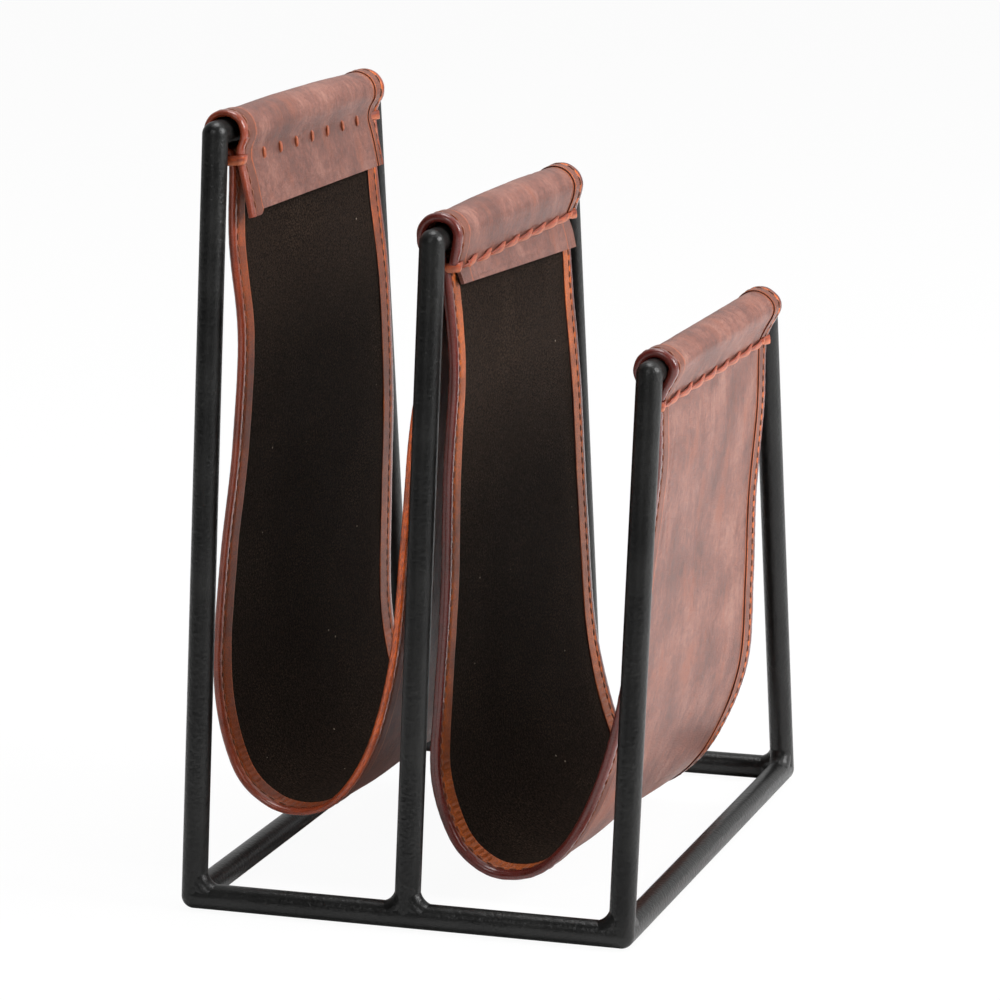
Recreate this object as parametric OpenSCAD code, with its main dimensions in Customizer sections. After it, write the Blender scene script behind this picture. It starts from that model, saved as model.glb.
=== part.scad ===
// Magazine rack: a welded frame of round steel bar that carries two leather pockets.
// Each pocket is one lined strip with bound edges. It hangs in a U between two top rails,
// is wrapped over the rails and laced shut under them.
// Axes: +X runs from the tall side to the short side, +Y from the front posts to the rear
// posts, +Z up. The origin is under the middle of the rack, on the floor.

/* [Frame] */
// Diameter of the round bar
bar_d = 10; // [8:0.5:14]
// Length of the rack from the tall posts to the short posts, between bar centres
frame_length = 172; // [140:1:260]
// Depth of the base from the front rail to the rear rail, between bar centres
frame_depth = 244; // [200:1:320]
// Place of the middle posts, from the tall posts
middle_at = 87; // [70:1:120]
// Length of the top rails, between bar centres: the posts lean in to meet them
top_rail_length = 172; // [140:1:190]
// Height of the tall top rail, to the bar centre
tall_height = 296; // [240:1:380]
// Height of the middle top rail, to the bar centre
middle_height = 258; // [220:1:340]
// Height of the short top rail, to the bar centre
short_height = 212; // [170:1:300]
// Radius of the weld in the corner between two bars
weld_r = 6; // [4:0.5:8]

/* [Pockets] */
// Width of the leather, front edge to rear edge
leather_w = 160; // [120:1:170]
// Thickness of the outer leather
leather_t = 1.3; // [1:0.1:2]
// Thickness of the suede lining
lining_t = 0.8; // [0.6:0.1:1.4]
// Thickness of the leather that binds the edges
binding_t = 0.6; // [0.4:0.1:0.8]
// Width of the edge binding on each face
binding_w = 12; // [8:0.5:16]
// Height of the tall pocket's bottom above the floor
tall_pocket_gap = 27; // [15:1:60]
// Height of the short pocket's bottom above the floor
short_pocket_gap = 9; // [6:1:60]
// Space between a rail and the leather wrapped over it
wrap_gap = 0.4; // [0.2:0.1:1.5]
// Drop of the tall lacing below the underside of its rail
tall_lacing_drop = 5.5; // [5:0.5:13]
// Drop of the middle lacing below the underside of its rail
middle_lacing_drop = 5.5; // [5:0.5:13]
// Drop of the short lacing below the underside of its rail
short_lacing_drop = 8; // [5:0.5:13]
// Length of the tall flap below its lacing
tall_flap = 20; // [8:1:30]
// Length of the middle flap below its lacing
middle_flap = 11; // [6:1:30]
// Length of the short flap below its lacing
short_flap = 12; // [6:1:30]

/* [Lacing and thread] */
// Number of lace holes along each rail
lace_holes = 9; // [5:1:12]
// Width of the flat lace
lace_w = 4; // [2.5:0.1:5]
// Thickness of the flat lace
lace_t = 1.2; // [0.8:0.1:1.6]
// Distance of the edge stitching from the edge
stitch_in = 4.5; // [3:0.5:6]
// Thickness of the sewing thread
thread_d = 0.7; // [0.4:0.1:1]

/* [Hidden] */
round_fn = 64;
bar_r = bar_d / 2;
steel = [0.09, 0.09, 0.09];
leather_colour = [0.42, 0.20, 0.13];
binding_colour = [0.58, 0.24, 0.11];
lining_colour = [0.09, 0.07, 0.06];
lace_colour = [0.78, 0.40, 0.20];
thread_colour = [0.66, 0.33, 0.16];

// Places of the three pairs of posts and the heights of their rails.
tall_x = -frame_length / 2;
middle_x = tall_x + middle_at;
short_x = frame_length / 2;
post_lean = (frame_depth - top_rail_length) / 2;

// Distances from the sewn face between leather and lining: + towards the outer leather.
sew_gap = 0.05;
outer_face = sew_gap + leather_t;
inner_face = sew_gap + lining_t;
outer_hem = outer_face + sew_gap + binding_t;
inner_hem = inner_face + sew_gap + binding_t;
hem_t = outer_hem + inner_hem;
hem_clearance = 0.2;
wrap_r = bar_r + wrap_gap + inner_hem;

// Sideways place of each layer at the lacing, from the bar centre. A wall and its flap meet
// lining to lining; the third layer and the wall beside it meet leather to leather.
wall_side = 4.2;
flap_side = wall_side + 2 * inner_hem + hem_clearance;
short_wall_side = 3.4;
short_flap_side = short_wall_side - 2 * inner_hem - hem_clearance;
third_layer_side = wall_side - 2 * outer_hem - hem_clearance;
third_layer_lean = 1;
third_layer_at = third_layer_side - third_layer_lean;
// The third layer runs this far below its lacing and ends this far above it.
third_layer_below = 5;
third_layer_above = [2, 2.2];
// Slope at which a flap stands off its wall.
flap_flare = 0.2;

// Line of each pocket below its lacing, at the front edge and at the rear edge. A point is
// [share of the way across, share of the way up]; the last value of a point says which
// side's height it is measured on, 0 for the left wall and 1 for the right.
tall_front_line = [[0.035, 0.87, 0], [0.072, 0.73, 0], [0.035, 0.56, 0], [-0.040, 0.38, 0],
    [-0.066, 0.19, 0], [0.010, 0.065, 0], [0.150, 0.012, 0], [0.325, 0, 0], [0.500, 0.033, 1],
    [0.660, 0.135, 1], [0.770, 0.30, 1], [0.825, 0.50, 1], [0.880, 0.72, 1], [0.965, 0.90, 1]];
tall_rear_line = [[0.072, 0.87, 0], [0.118, 0.73, 0], [0.134, 0.56, 0], [0.118, 0.38, 0],
    [0.108, 0.19, 0], [0.178, 0.065, 0], [0.300, 0.012, 0], [0.460, 0, 0], [0.610, 0.033, 1],
    [0.745, 0.135, 1], [0.822, 0.30, 1], [0.860, 0.50, 1], [0.900, 0.72, 1], [0.970, 0.90, 1]];
short_front_line = [[0.064, 0.85, 0], [0.038, 0.68, 0], [0.020, 0.48, 0], [-0.022, 0.29, 0],
    [-0.033, 0.16, 0], [0.043, 0.065, 0], [0.150, 0.018, 0], [0.290, 0, 0], [0.470, 0.022, 1],
    [0.640, 0.110, 1], [0.787, 0.270, 1], [0.885, 0.47, 1], [0.950, 0.66, 1], [1.005, 0.86, 1]];
short_rear_line = [[0.044, 0.85, 0], [0.088, 0.68, 0], [0.117, 0.48, 0], [0.149, 0.29, 0],
    [0.215, 0.16, 0], [0.300, 0.065, 0], [0.385, 0.018, 0], [0.505, 0, 0], [0.635, 0.022, 1],
    [0.790, 0.110, 1], [0.925, 0.270, 1], [0.950, 0.47, 1], [0.960, 0.66, 1], [0.998, 0.86, 1]];

// Smooth curve through points: a cubic between each two, with tangents from their neighbours.
function cubic(a, b, c, d, t) =
    0.5 * (2 * b + (c - a) * t + (2 * a - 5 * b + 4 * c - d) * t * t + (3 * b - a - 3 * c + d) * t * t * t);
function smooth(p, n) = concat(
    [for (i = [0:len(p) - 2]) for (k = [0:n - 1])
        cubic(p[max(i - 1, 0)], p[i], p[i + 1], p[min(i + 2, len(p) - 1)], k / n)],
    [p[len(p) - 1]]);

// The wrap goes well past half way round the bar.
wrap_turn = 250;
wrap_steps = 8;

// Points on a circle in the X-Z plane, from one angle to another.
function arc(x, z, r, from, to, steps) =
    [for (i = [0:steps]) let (a = from + (to - from) * i / steps) [x + r * cos(a), z + r * sin(a)]];

// Wrap over the left rail of a pocket: up the flap, over the bar and down to the lacing at
// the height lz.
function left_wrap(x, z, lz, flap) = concat(
    [[x + flap_side + flap_flare * flap, lz - flap],
        [x + flap_side + flap_flare * flap / 2, lz - flap / 2],
        [x + flap_side, lz]],
    arc(x, z, wrap_r, 0, wrap_turn, wrap_steps),
    [[x + wall_side, lz]]);

// Wrap over the right rail: up from the lacing on the outside, over the bar, down the flap.
function right_wrap(x, z, lz, flap) = concat(
    [[x + short_wall_side, lz]],
    arc(x, z, wrap_r, 0, wrap_turn, wrap_steps),
    [[x + short_flap_side, lz],
        [x + short_flap_side - flap_flare * flap / 2, lz - flap / 2],
        [x + short_flap_side - flap_flare * flap, lz - flap]]);

// End of the tall pocket behind the middle rail: it stops in the lacing as the third layer.
function third_layer(x, lz) = [
    [x + third_layer_side, lz - third_layer_below],
    [x + third_layer_at, lz],
    [x + third_layer_at - third_layer_above[0], lz + third_layer_above[1]]];

// Hanging part of a pocket between its two lacings, at the heights la and lb.
function hang(line, xa, la, xb, lb, low) =
    [for (p = line) [xa + p[0] * (xb - xa), low + p[1] * ((p[2] == 0 ? la : lb) - low)]];

tall_lace_z = tall_height - bar_r - tall_lacing_drop;
middle_lace_z = middle_height - bar_r - middle_lacing_drop;
short_lace_z = short_height - bar_r - short_lacing_drop;

curve_steps = 2;
function tall_path(line) = smooth(concat(
    left_wrap(tall_x, tall_height, tall_lace_z, tall_flap),
    hang(line, tall_x, tall_lace_z, middle_x, middle_lace_z, tall_pocket_gap + outer_hem),
    third_layer(middle_x, middle_lace_z)), curve_steps);
function short_path(line) = smooth(concat(
    left_wrap(middle_x, middle_height, middle_lace_z, middle_flap),
    hang(line, middle_x, middle_lace_z, short_x, short_lace_z, short_pocket_gap + outer_hem),
    right_wrap(short_x, short_height, short_lace_z, short_flap)), curve_steps);
tall_paths = [tall_path(tall_front_line), tall_path(tall_rear_line)];
short_paths = [short_path(short_front_line), short_path(short_rear_line)];

// Line of a pocket at a distance in from its front edge, and its normals to the outside.
function line_in(paths, s) = let (t = s / leather_w)
    [for (i = [0:len(paths[0]) - 1]) paths[0][i] * (1 - t) + paths[1][i] * t];
function outward(line) = [for (i = [0:len(line) - 1])
    let (d = line[min(i + 1, len(line) - 1)] - line[max(i - 1, 0)]) [d[1], -d[0]] / norm(d)];

// A strip that follows a pocket: two rows of [distance in, distance out] points, joined all
// the way along the pocket's line. Both rows' faces are cut along the same diagonals, so a
// twist in the strip never brings its two faces through each other.
module strip(paths, row_a, row_b) {
    k = len(row_a);
    n = len(paths[0]);
    ring = concat(row_a, [for (i = [k - 1:-1:0]) row_b[i]]);
    lines = [for (p = ring) line_in(paths, p[0])];
    normals = [for (l = lines) outward(l)];
    points = [for (i = [0:n - 1]) for (j = [0:2 * k - 1])
        let (q = lines[j][i] + normals[j][i] * ring[j][1]) [q[0], ring[j][0] - leather_w / 2, q[1]]];
    m = 2 * k;
    sides = [for (i = [0:n - 2]) for (j = [0:m - 1]) let (a = i * m + j, b = i * m + (j + 1) % m)
        each j < k ? [[a, a + m, b + m], [a, b + m, b]] : [[a, a + m, b], [b, a + m, b + m]]];
    end = (n - 1) * m;
    caps = [for (j = [0:k - 2]) let (a = j, b = j + 1, c = m - 2 - j, d = m - 1 - j)
        each [[a, b, c], [a, c, d], [end + a, end + c, end + b], [end + a, end + d, end + c]]];
    polyhedron(points, concat(sides, caps));
}

// A bar from one point to another.
module bar(a, b, thick = bar_d) {
    d = b - a;
    translate(a)
        rotate([0, acos(d[2] / norm(d)), atan2(d[1], d[0])])
            cylinder(d = thick, h = norm(d), $fn = round_fn);
}
// The ground corners and the coped ends stand a hair off the bars.
hair = 0.05;
module ball(p) {
    translate(p) sphere(d = bar_d + hair, $fn = round_fn);
}

function foot(x, rear) = [x, (rear ? 1 : -1) * frame_depth / 2, bar_r];
function head(x, z, rear) = [x, (rear ? 1 : -1) * top_rail_length / 2, z];

// A post with its rounded foot and head. Feet on the corners stand over the rails' ends.
module post(x, z, rear) {
    bar(foot(x, rear), head(x, z, rear));
    ball(foot(x, rear));
    ball(head(x, z, rear));
}
module post_pair(x, z) {
    post(x, z, false);
    post(x, z, true);
}
module long_rail(rear) {
    bar(foot(tall_x, rear), foot(short_x, rear));
}
module side_rail(x) {
    bar(foot(x, false), foot(x, true));
}

module base_rail_long(rear) {
    color(steel) difference() {
        long_rail(rear);
        post(tall_x, tall_height, rear);
        post(short_x, short_height, rear);
    }
}
module base_rail_side(x, z) {
    color(steel) difference() {
        side_rail(x);
        post_pair(x, z);
        long_rail(false);
        long_rail(true);
    }
}
module corner_post(x, z, rear) {
    color(steel) post(x, z, rear);
}
module post_bar(x, z, rear) {
    bar(foot(x, rear), head(x, z, rear));
}
module rail_bar(x, z) {
    bar(head(x, z, false), head(x, z, true));
}
module middle_post(rear) {
    color(steel) difference() {
        union() {
            post_bar(middle_x, middle_height, rear);
            ball(head(middle_x, middle_height, rear));
        }
        bar(foot(tall_x, rear), foot(short_x, rear), bar_d + hair);
    }
}
module top_rail(x, z) {
    color(steel) difference() {
        rail_bar(x, z);
        post_pair(x, z);
    }
}

// Weld in the corner between two bars: a bend of slightly thinner bar that joins them, less
// the bars. The bend runs from the +X bar to a bar opened towards +Z by the angle.
weld_share = 0.94;
weld_d = bar_d * weld_share;
weld_fn = 32;
// Three bends meet in a corner. Each is a step thinner than the one before, so that no two of
// them end on the same circle.
weld_step = 0.3;
module bend(angle, thick) {
    turn = 180 - angle;
    r = weld_r + bar_r;
    translate([r / tan(angle / 2), 0, r])
        rotate([90, 0, 0])
            rotate_extrude(angle = turn, start = 270 - turn, $fn = round_fn)
                translate([r, 0])
                    circle(d = thick, $fn = weld_fn);
}
function lean_angle(z) = atan(post_lean / (z - bar_r));
module facing(side) {
    rotate([0, 0, side > 0 ? 0 : 180])
        children();
}

// Bend between a long rail and a post: side 1 is the +X side of the post, -1 the other.
module rail_bend(x, z, rear, side) {
    translate(foot(x, rear))
        rotate([(rear ? 1 : -1) * lean_angle(z), 0, 0])
            facing(side) bend(90, weld_d);
}
// Bend between a side rail and a post.
module side_bend(x, z, rear) {
    translate(foot(x, rear))
        rotate([0, 0, rear ? -90 : 90])
            bend(90 - lean_angle(z), weld_d - weld_step);
}
// Bend between a side rail and a long rail, flat in the base.
module flat_bend(x, rear, side) {
    translate(foot(x, rear))
        rotate([rear ? 90 : -90, 0, 0])
            facing(side) bend(90, weld_d - 2 * weld_step);
}
module base_corner(x, z, rear, side) {
    difference() {
        union() {
            rail_bend(x, z, rear, side);
            side_bend(x, z, rear);
            flat_bend(x, rear, side);
        }
        post_bar(x, z, rear);
        long_rail(rear);
        side_rail(x);
    }
}
module base_corner_welds() {
    color(steel) for (rear = [false, true]) {
        base_corner(tall_x, tall_height, rear, 1);
        base_corner(short_x, short_height, rear, -1);
    }
}
module middle_foot_welds() {
    color(steel) for (rear = [false, true]) for (side = [-1, 1]) difference() {
        rail_bend(middle_x, middle_height, rear, side);
        post_bar(middle_x, middle_height, rear);
        long_rail(rear);
    }
}
// Lace holes: evenly spaced along a rail, the end ones inside the bindings.
hole_inset = 8;
hole_pitch = (leather_w - 2 * hole_inset) / (lace_holes - 1);
lace_core = 1.8;
hole_play = 0.4;
hole_d = lace_core + hole_play;
hole_fn = 8;
function hole_y(i) = -leather_w / 2 + hole_inset + i * hole_pitch;
lace_side_gap = 0.1;
lace_end_gap = 0.2;
lace_fn = 24;

// The cutters run past the layers, but not as far as the next pocket's layers.
cut_past = 4;
cut_past_third = 3;
module lace_hole_cuts(x, lz, from, to) {
    for (i = [0:lace_holes - 1])
        translate([x + from, hole_y(i), lz])
            rotate([0, 90, 0])
                cylinder(d = hole_d, h = to - from, $fn = hole_fn);
}
module tall_pocket_cuts() {
    lace_hole_cuts(tall_x, tall_lace_z, wall_side - cut_past, flap_side + cut_past);
    lace_hole_cuts(middle_x, middle_lace_z, third_layer_at - cut_past, wall_side);
}
module short_pocket_cuts() {
    lace_hole_cuts(middle_x, middle_lace_z, wall_side - cut_past_third, flap_side + cut_past);
    lace_hole_cuts(short_x, short_lace_z, short_flap_side - cut_past, short_wall_side + cut_past);
}

// Layers of a pocket. The leather and the lining stop inside the fold of the bindings.
fold = binding_t + sew_gap;
stations = [fold, binding_w, leather_w - binding_w, leather_w - fold];
module pocket_leather(paths) {
    strip(paths, [for (s = stations) [s, outer_face]], [for (s = stations) [s, sew_gap]]);
}
module pocket_lining(paths) {
    strip(paths, [for (s = stations) [s, -sew_gap]], [for (s = stations) [s, -inner_face]]);
}
// Binding folded round an edge: its outside is a round roll, its inside a slot for the
// layers. The row runs from the outer face's cut edge round the edge to the inner face's.
roll = hem_t / 2;
roll_middle = (outer_hem - inner_hem) / 2;
function binding_rows(front) = let (
        side = function(s) front ? s : leather_w - s,
        outside = concat([[side(binding_w), outer_hem]],
            [for (a = [90:30:270]) [side(roll + roll * cos(a)), roll_middle + roll * sin(a)]],
            [[side(binding_w), -inner_hem]]),
        slot_out = outer_face + sew_gap / 2,
        slot_in = -inner_face - sew_gap / 2,
        inside = concat([[side(binding_w), slot_out]],
            [for (k = [0:6]) [side(fold - sew_gap / 2 + (k == 0 || k == 6 ? roll : 0)),
                slot_out + (slot_in - slot_out) * min(1, max(0, (k - 1) / 4))]],
            [[side(binding_w), slot_in]]))
    front ? [inside, outside] : [outside, inside];
module pocket_binding(paths, front) {
    rows = binding_rows(front);
    strip(paths, rows[0], rows[1]);
}
// Thread of the edge stitching, one run on each face of a binding.
module pocket_stitching(paths, front) {
    near = front ? stitch_in - thread_d / 2 : leather_w - stitch_in - thread_d / 2;
    far = near + thread_d;
    rise = thread_d / 2;
    strip(paths, [[near, outer_hem + rise], [far, outer_hem + rise]],
        [[near, outer_hem], [far, outer_hem]]);
    strip(paths, [[near, -inner_hem], [far, -inner_hem]],
        [[near, -inner_hem - rise], [far, -inner_hem - rise]]);
}

// Lacing of one rail. The long slanting stitches lie on the show side, short upright ones
// on the other, and the lace runs round both edges of the leather. Mid is the lacing's
// height; show and back are the sideways places of the two faces from the rail.
module lacing(x, mid, show, back, show_out) {
    show_face = x + show + (show_out ? lace_side_gap : -lace_side_gap - lace_t);
    back_face = x + back + (show_out ? -lace_side_gap - lace_t : lace_side_gap);
    low = min(show_face, back_face);
    high = max(show_face, back_face) + lace_t;
    slant = atan(lace_w / hole_pitch);
    stitch = hole_pitch / cos(slant);
    color(lace_colour) {
        for (i = [0:lace_holes - 1])
            translate([low + lace_end_gap, hole_y(i), mid])
                rotate([0, 90, 0])
                    cylinder(d = lace_core, h = high - low - 2 * lace_end_gap, $fn = lace_fn);
        for (i = [0:lace_holes - 2])
            translate([show_face, hole_y(i) + hole_pitch / 2, mid])
                rotate([slant, 0, 0])
                    translate([0, -stitch / 2, -lace_w / 4])
                        cube([lace_t, stitch, lace_w / 2]);
        for (i = [0:lace_holes - 1])
            translate([back_face, hole_y(i) - lace_core / 2, mid - lace_w / 2])
                cube([lace_t, lace_core, lace_w]);
        for (end = [-1, 1]) {
            edge = end * (leather_w / 2 + lace_side_gap);
            inside = end * (leather_w / 2 - hole_inset);
            for (face = [show_face, back_face])
                translate([face, min(edge, inside), mid - lace_w / 2])
                    cube([lace_t, abs(edge - inside), lace_w]);
            translate([low, end > 0 ? edge : edge - lace_t, mid - lace_w / 2])
                cube([high - low, lace_t, lace_w]);
        }
    }
}

base_rail_long(false);  // front_base_rail
base_rail_long(true);  // rear_base_rail
base_rail_side(tall_x, tall_height);  // tall_side_base_rail
base_rail_side(short_x, short_height);  // short_side_base_rail
corner_post(tall_x, tall_height, false);  // tall_front_post
corner_post(tall_x, tall_height, true);  // tall_rear_post
top_rail(tall_x, tall_height);  // tall_top_rail
middle_post(false);  // middle_front_post
middle_post(true);  // middle_rear_post
top_rail(middle_x, middle_height);  // middle_top_rail
corner_post(short_x, short_height, false);  // short_front_post
corner_post(short_x, short_height, true);  // short_rear_post
top_rail(short_x, short_height);  // short_top_rail
base_corner_welds();
middle_foot_welds();
color(leather_colour) difference() {  // tall_pocket_leather
    pocket_leather(tall_paths);
    tall_pocket_cuts();
}
color(lining_colour) difference() {  // tall_pocket_lining
    pocket_lining(tall_paths);
    tall_pocket_cuts();
}
color(binding_colour) difference() {  // tall_pocket_front_binding
    pocket_binding(tall_paths, true);
    tall_pocket_cuts();
}
color(binding_colour) difference() {  // tall_pocket_rear_binding
    pocket_binding(tall_paths, false);
    tall_pocket_cuts();
}
color(thread_colour) pocket_stitching(tall_paths, true);  // tall_pocket_front_stitching
color(thread_colour) pocket_stitching(tall_paths, false);  // tall_pocket_rear_stitching
color(leather_colour) difference() {  // short_pocket_leather
    pocket_leather(short_paths);
    short_pocket_cuts();
}
color(lining_colour) difference() {  // short_pocket_lining
    pocket_lining(short_paths);
    short_pocket_cuts();
}
color(binding_colour) difference() {  // short_pocket_front_binding
    pocket_binding(short_paths, true);
    short_pocket_cuts();
}
color(binding_colour) difference() {  // short_pocket_rear_binding
    pocket_binding(short_paths, false);
    short_pocket_cuts();
}
color(thread_colour) pocket_stitching(short_paths, true);  // short_pocket_front_stitching
color(thread_colour) pocket_stitching(short_paths, false);  // short_pocket_rear_stitching
lacing(tall_x, tall_lace_z, wall_side - outer_hem, flap_side + outer_hem, false);  // tall_lacing
lacing(middle_x, middle_lace_z, flap_side + outer_hem, third_layer_at - inner_hem, true);  // middle_lacing
lacing(short_x, short_lace_z, short_wall_side + outer_hem, short_flap_side - outer_hem, true);  // short_lacing
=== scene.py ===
"""Looks of the magazine rack: the leather pockets, their seams and lacings, and the coated bars.

Lengths are in millimetres until a mesh is written, in the frame's own axes: +X from the tall
side to the short side, +Y from front to rear, +Z up.
"""
import logging
import math
from dataclasses import dataclass, field
from enum import Enum
from typing import Callable, Sequence

import bpy
import numpy as np
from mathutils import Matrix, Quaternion, Vector


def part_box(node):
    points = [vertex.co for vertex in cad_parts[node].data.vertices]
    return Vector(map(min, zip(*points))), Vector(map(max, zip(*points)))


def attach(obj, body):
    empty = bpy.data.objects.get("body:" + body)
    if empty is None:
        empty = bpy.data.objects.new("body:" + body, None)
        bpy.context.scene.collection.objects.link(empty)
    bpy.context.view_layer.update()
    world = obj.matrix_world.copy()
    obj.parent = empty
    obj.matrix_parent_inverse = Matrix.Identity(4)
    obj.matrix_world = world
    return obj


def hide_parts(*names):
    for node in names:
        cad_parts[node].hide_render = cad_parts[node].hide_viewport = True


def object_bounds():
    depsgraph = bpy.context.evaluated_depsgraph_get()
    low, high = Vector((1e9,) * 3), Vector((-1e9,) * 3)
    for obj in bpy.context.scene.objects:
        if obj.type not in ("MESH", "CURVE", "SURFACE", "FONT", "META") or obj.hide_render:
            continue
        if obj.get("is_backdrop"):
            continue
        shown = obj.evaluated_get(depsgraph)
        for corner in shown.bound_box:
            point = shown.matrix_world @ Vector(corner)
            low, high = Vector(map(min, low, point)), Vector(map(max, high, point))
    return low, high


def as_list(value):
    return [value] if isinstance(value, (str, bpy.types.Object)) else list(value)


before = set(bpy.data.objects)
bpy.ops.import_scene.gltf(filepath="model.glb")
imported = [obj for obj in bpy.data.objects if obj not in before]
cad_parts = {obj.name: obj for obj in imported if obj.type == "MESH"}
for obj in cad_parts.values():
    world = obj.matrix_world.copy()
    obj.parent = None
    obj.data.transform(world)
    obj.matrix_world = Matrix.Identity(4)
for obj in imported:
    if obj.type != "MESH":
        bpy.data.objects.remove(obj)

log = logging.getLogger("rack")
MM = 0.001
CAD_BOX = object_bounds()
Array = np.ndarray


class Side(Enum):
    """The two long edges of a pocket."""

    FRONT = "front"
    REAR = "rear"


class Slot(Enum):
    """The record's material slots."""

    LEATHER = "outer_leather"
    LINING = "suede_lining"
    BINDING = "edge_binding"
    THREAD = "sewing_thread"
    LACE = "leather_lace"


# ---------------------------------------------------------------------------
# Sizes
# ---------------------------------------------------------------------------


@dataclass(frozen=True)
class Layers:
    """Thicknesses of the pocket's layers and sizes of its seams, in millimetres."""

    leather: float = 1.3
    lining: float = 0.8
    binding: float = 0.6
    sew_gap: float = 0.05
    width: float = 160.0
    binding_width: float = 12.0
    stitch_in: float = 4.6
    stitch_pitch: float = 4.6
    bar_radius: float = 5.0
    wrap_gap: float = 0.4

    @property
    def outer_face(self) -> float:
        """Height of the outer leather's face over the sewn face."""
        return self.sew_gap + self.leather

    @property
    def inner_face(self) -> float:
        """Depth of the lining's face under the sewn face."""
        return self.sew_gap + self.lining

    @property
    def outer_hem(self) -> float:
        """Height of the binding's outer face over the sewn face."""
        return self.outer_face + self.sew_gap + self.binding

    @property
    def inner_hem(self) -> float:
        """Depth of the binding's inner face under the sewn face."""
        return self.inner_face + self.sew_gap + self.binding

    @property
    def wrap_radius(self) -> float:
        """Radius of the sewn face round a bar."""
        return self.bar_radius + self.wrap_gap + self.inner_hem


@dataclass(frozen=True)
class Rail:
    """A top rail's centre line: its place across, its height and its two ends."""

    x: float
    z: float
    front: float
    rear: float

    @classmethod
    def of(cls, node: str) -> "Rail":
        """Measures a rail from its CAD node.

        Args:
            node: The rail's node name.

        Returns:
            The rail, in millimetres.
        """
        low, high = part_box(node)
        return cls((low.x + high.x) / 2 / MM, (low.z + high.z) / 2 / MM, low.y / MM, high.y / MM)


# ---------------------------------------------------------------------------
# Curves and noise
# ---------------------------------------------------------------------------


def through(points: Array, per: int = 24) -> Array:
    """Smooth curve through points: between each two, a cubic whose slopes come from the
    neighbours.

    Args:
        points: Control points, one a row.
        per: Samples between each two points.

    Returns:
        The samples, one a row.
    """
    count = len(points) - 1
    i = np.arange(count)
    a, b = points[np.maximum(i - 1, 0)][:, None], points[i][:, None]
    c, d = points[i + 1][:, None], points[np.minimum(i + 2, count)][:, None]
    t = (np.arange(per) / per)[None, :, None]
    square, cube = 2 * a - 5 * b + 4 * c - d, 3 * b - a - 3 * c + d
    body = 0.5 * (2 * b + (c - a) * t + square * t**2 + cube * t**3)
    return np.vstack([body.reshape(-1, points.shape[1]), points[-1:]])


def softened(line: Array, sigma: float) -> Array:
    """Rounds a sampled line's corners: a bell-weighted mean of each point's neighbours.

    Args:
        line: Samples, one a row.
        sigma: Width of the bell, in samples.

    Returns:
        The rounded line, of the same length.
    """
    reach = int(4 * sigma)
    bell = np.exp(-0.5 * (np.arange(-reach, reach + 1) / sigma) ** 2)
    bell /= bell.sum()
    head = 2 * line[0] - line[reach:0:-1]
    tail = 2 * line[-1] - line[-2 : -reach - 2 : -1]
    padded = np.vstack([head, line, tail])
    return np.stack([np.convolve(column, bell, "valid") for column in padded.T], axis=1)


@dataclass(frozen=True)
class Ripple:
    """Smooth random height: a seeded lattice of values, blended between its corners.

    Fields are the seed and the lattice's spacing along and across the leather.
    """

    seed: int
    along: float
    across: float

    def at(self, u: Array, v: Array) -> Array:
        """Height at places on the leather.

        Args:
            u: Distance along, in millimetres.
            v: Distance across, in millimetres.

        Returns:
            Heights between -1 and 1.
        """
        lattice = np.random.default_rng(self.seed).uniform(-1, 1, (257, 257))
        x, y = np.asarray(u) / self.along + 7.3, np.asarray(v) / self.across + 3.1
        i, j = np.floor(x).astype(int), np.floor(y).astype(int)
        s, t = x - i, y - j
        s, t = s * s * (3 - 2 * s), t * t * (3 - 2 * t)
        i, j = i % 256, j % 256
        low = lattice[i, j] * (1 - s) + lattice[i + 1, j] * s
        high = lattice[i, j + 1] * (1 - s) + lattice[i + 1, j + 1] * s
        return low * (1 - t) + high * t


def bump(distance: Array, width: float) -> Array:
    """Bell-shaped hump: 1 at no distance, falling away over the width.

    Args:
        distance: Distances, in millimetres.
        width: The bell's standard deviation, in millimetres.

    Returns:
        The hump's height at each distance.
    """
    return np.exp(-0.5 * (distance / width) ** 2)


def ramp(value: Array, start: float, end: float) -> Array:
    """Smooth step from 0 at start to 1 at end.

    Args:
        value: Where to read the step.
        start: Where it leaves 0.
        end: Where it reaches 1.

    Returns:
        The step's height at each value.
    """
    t = np.clip((value - start) / (end - start), 0, 1)
    return t * t * (3 - 2 * t)


# ---------------------------------------------------------------------------
# Meshes
# ---------------------------------------------------------------------------


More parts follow.
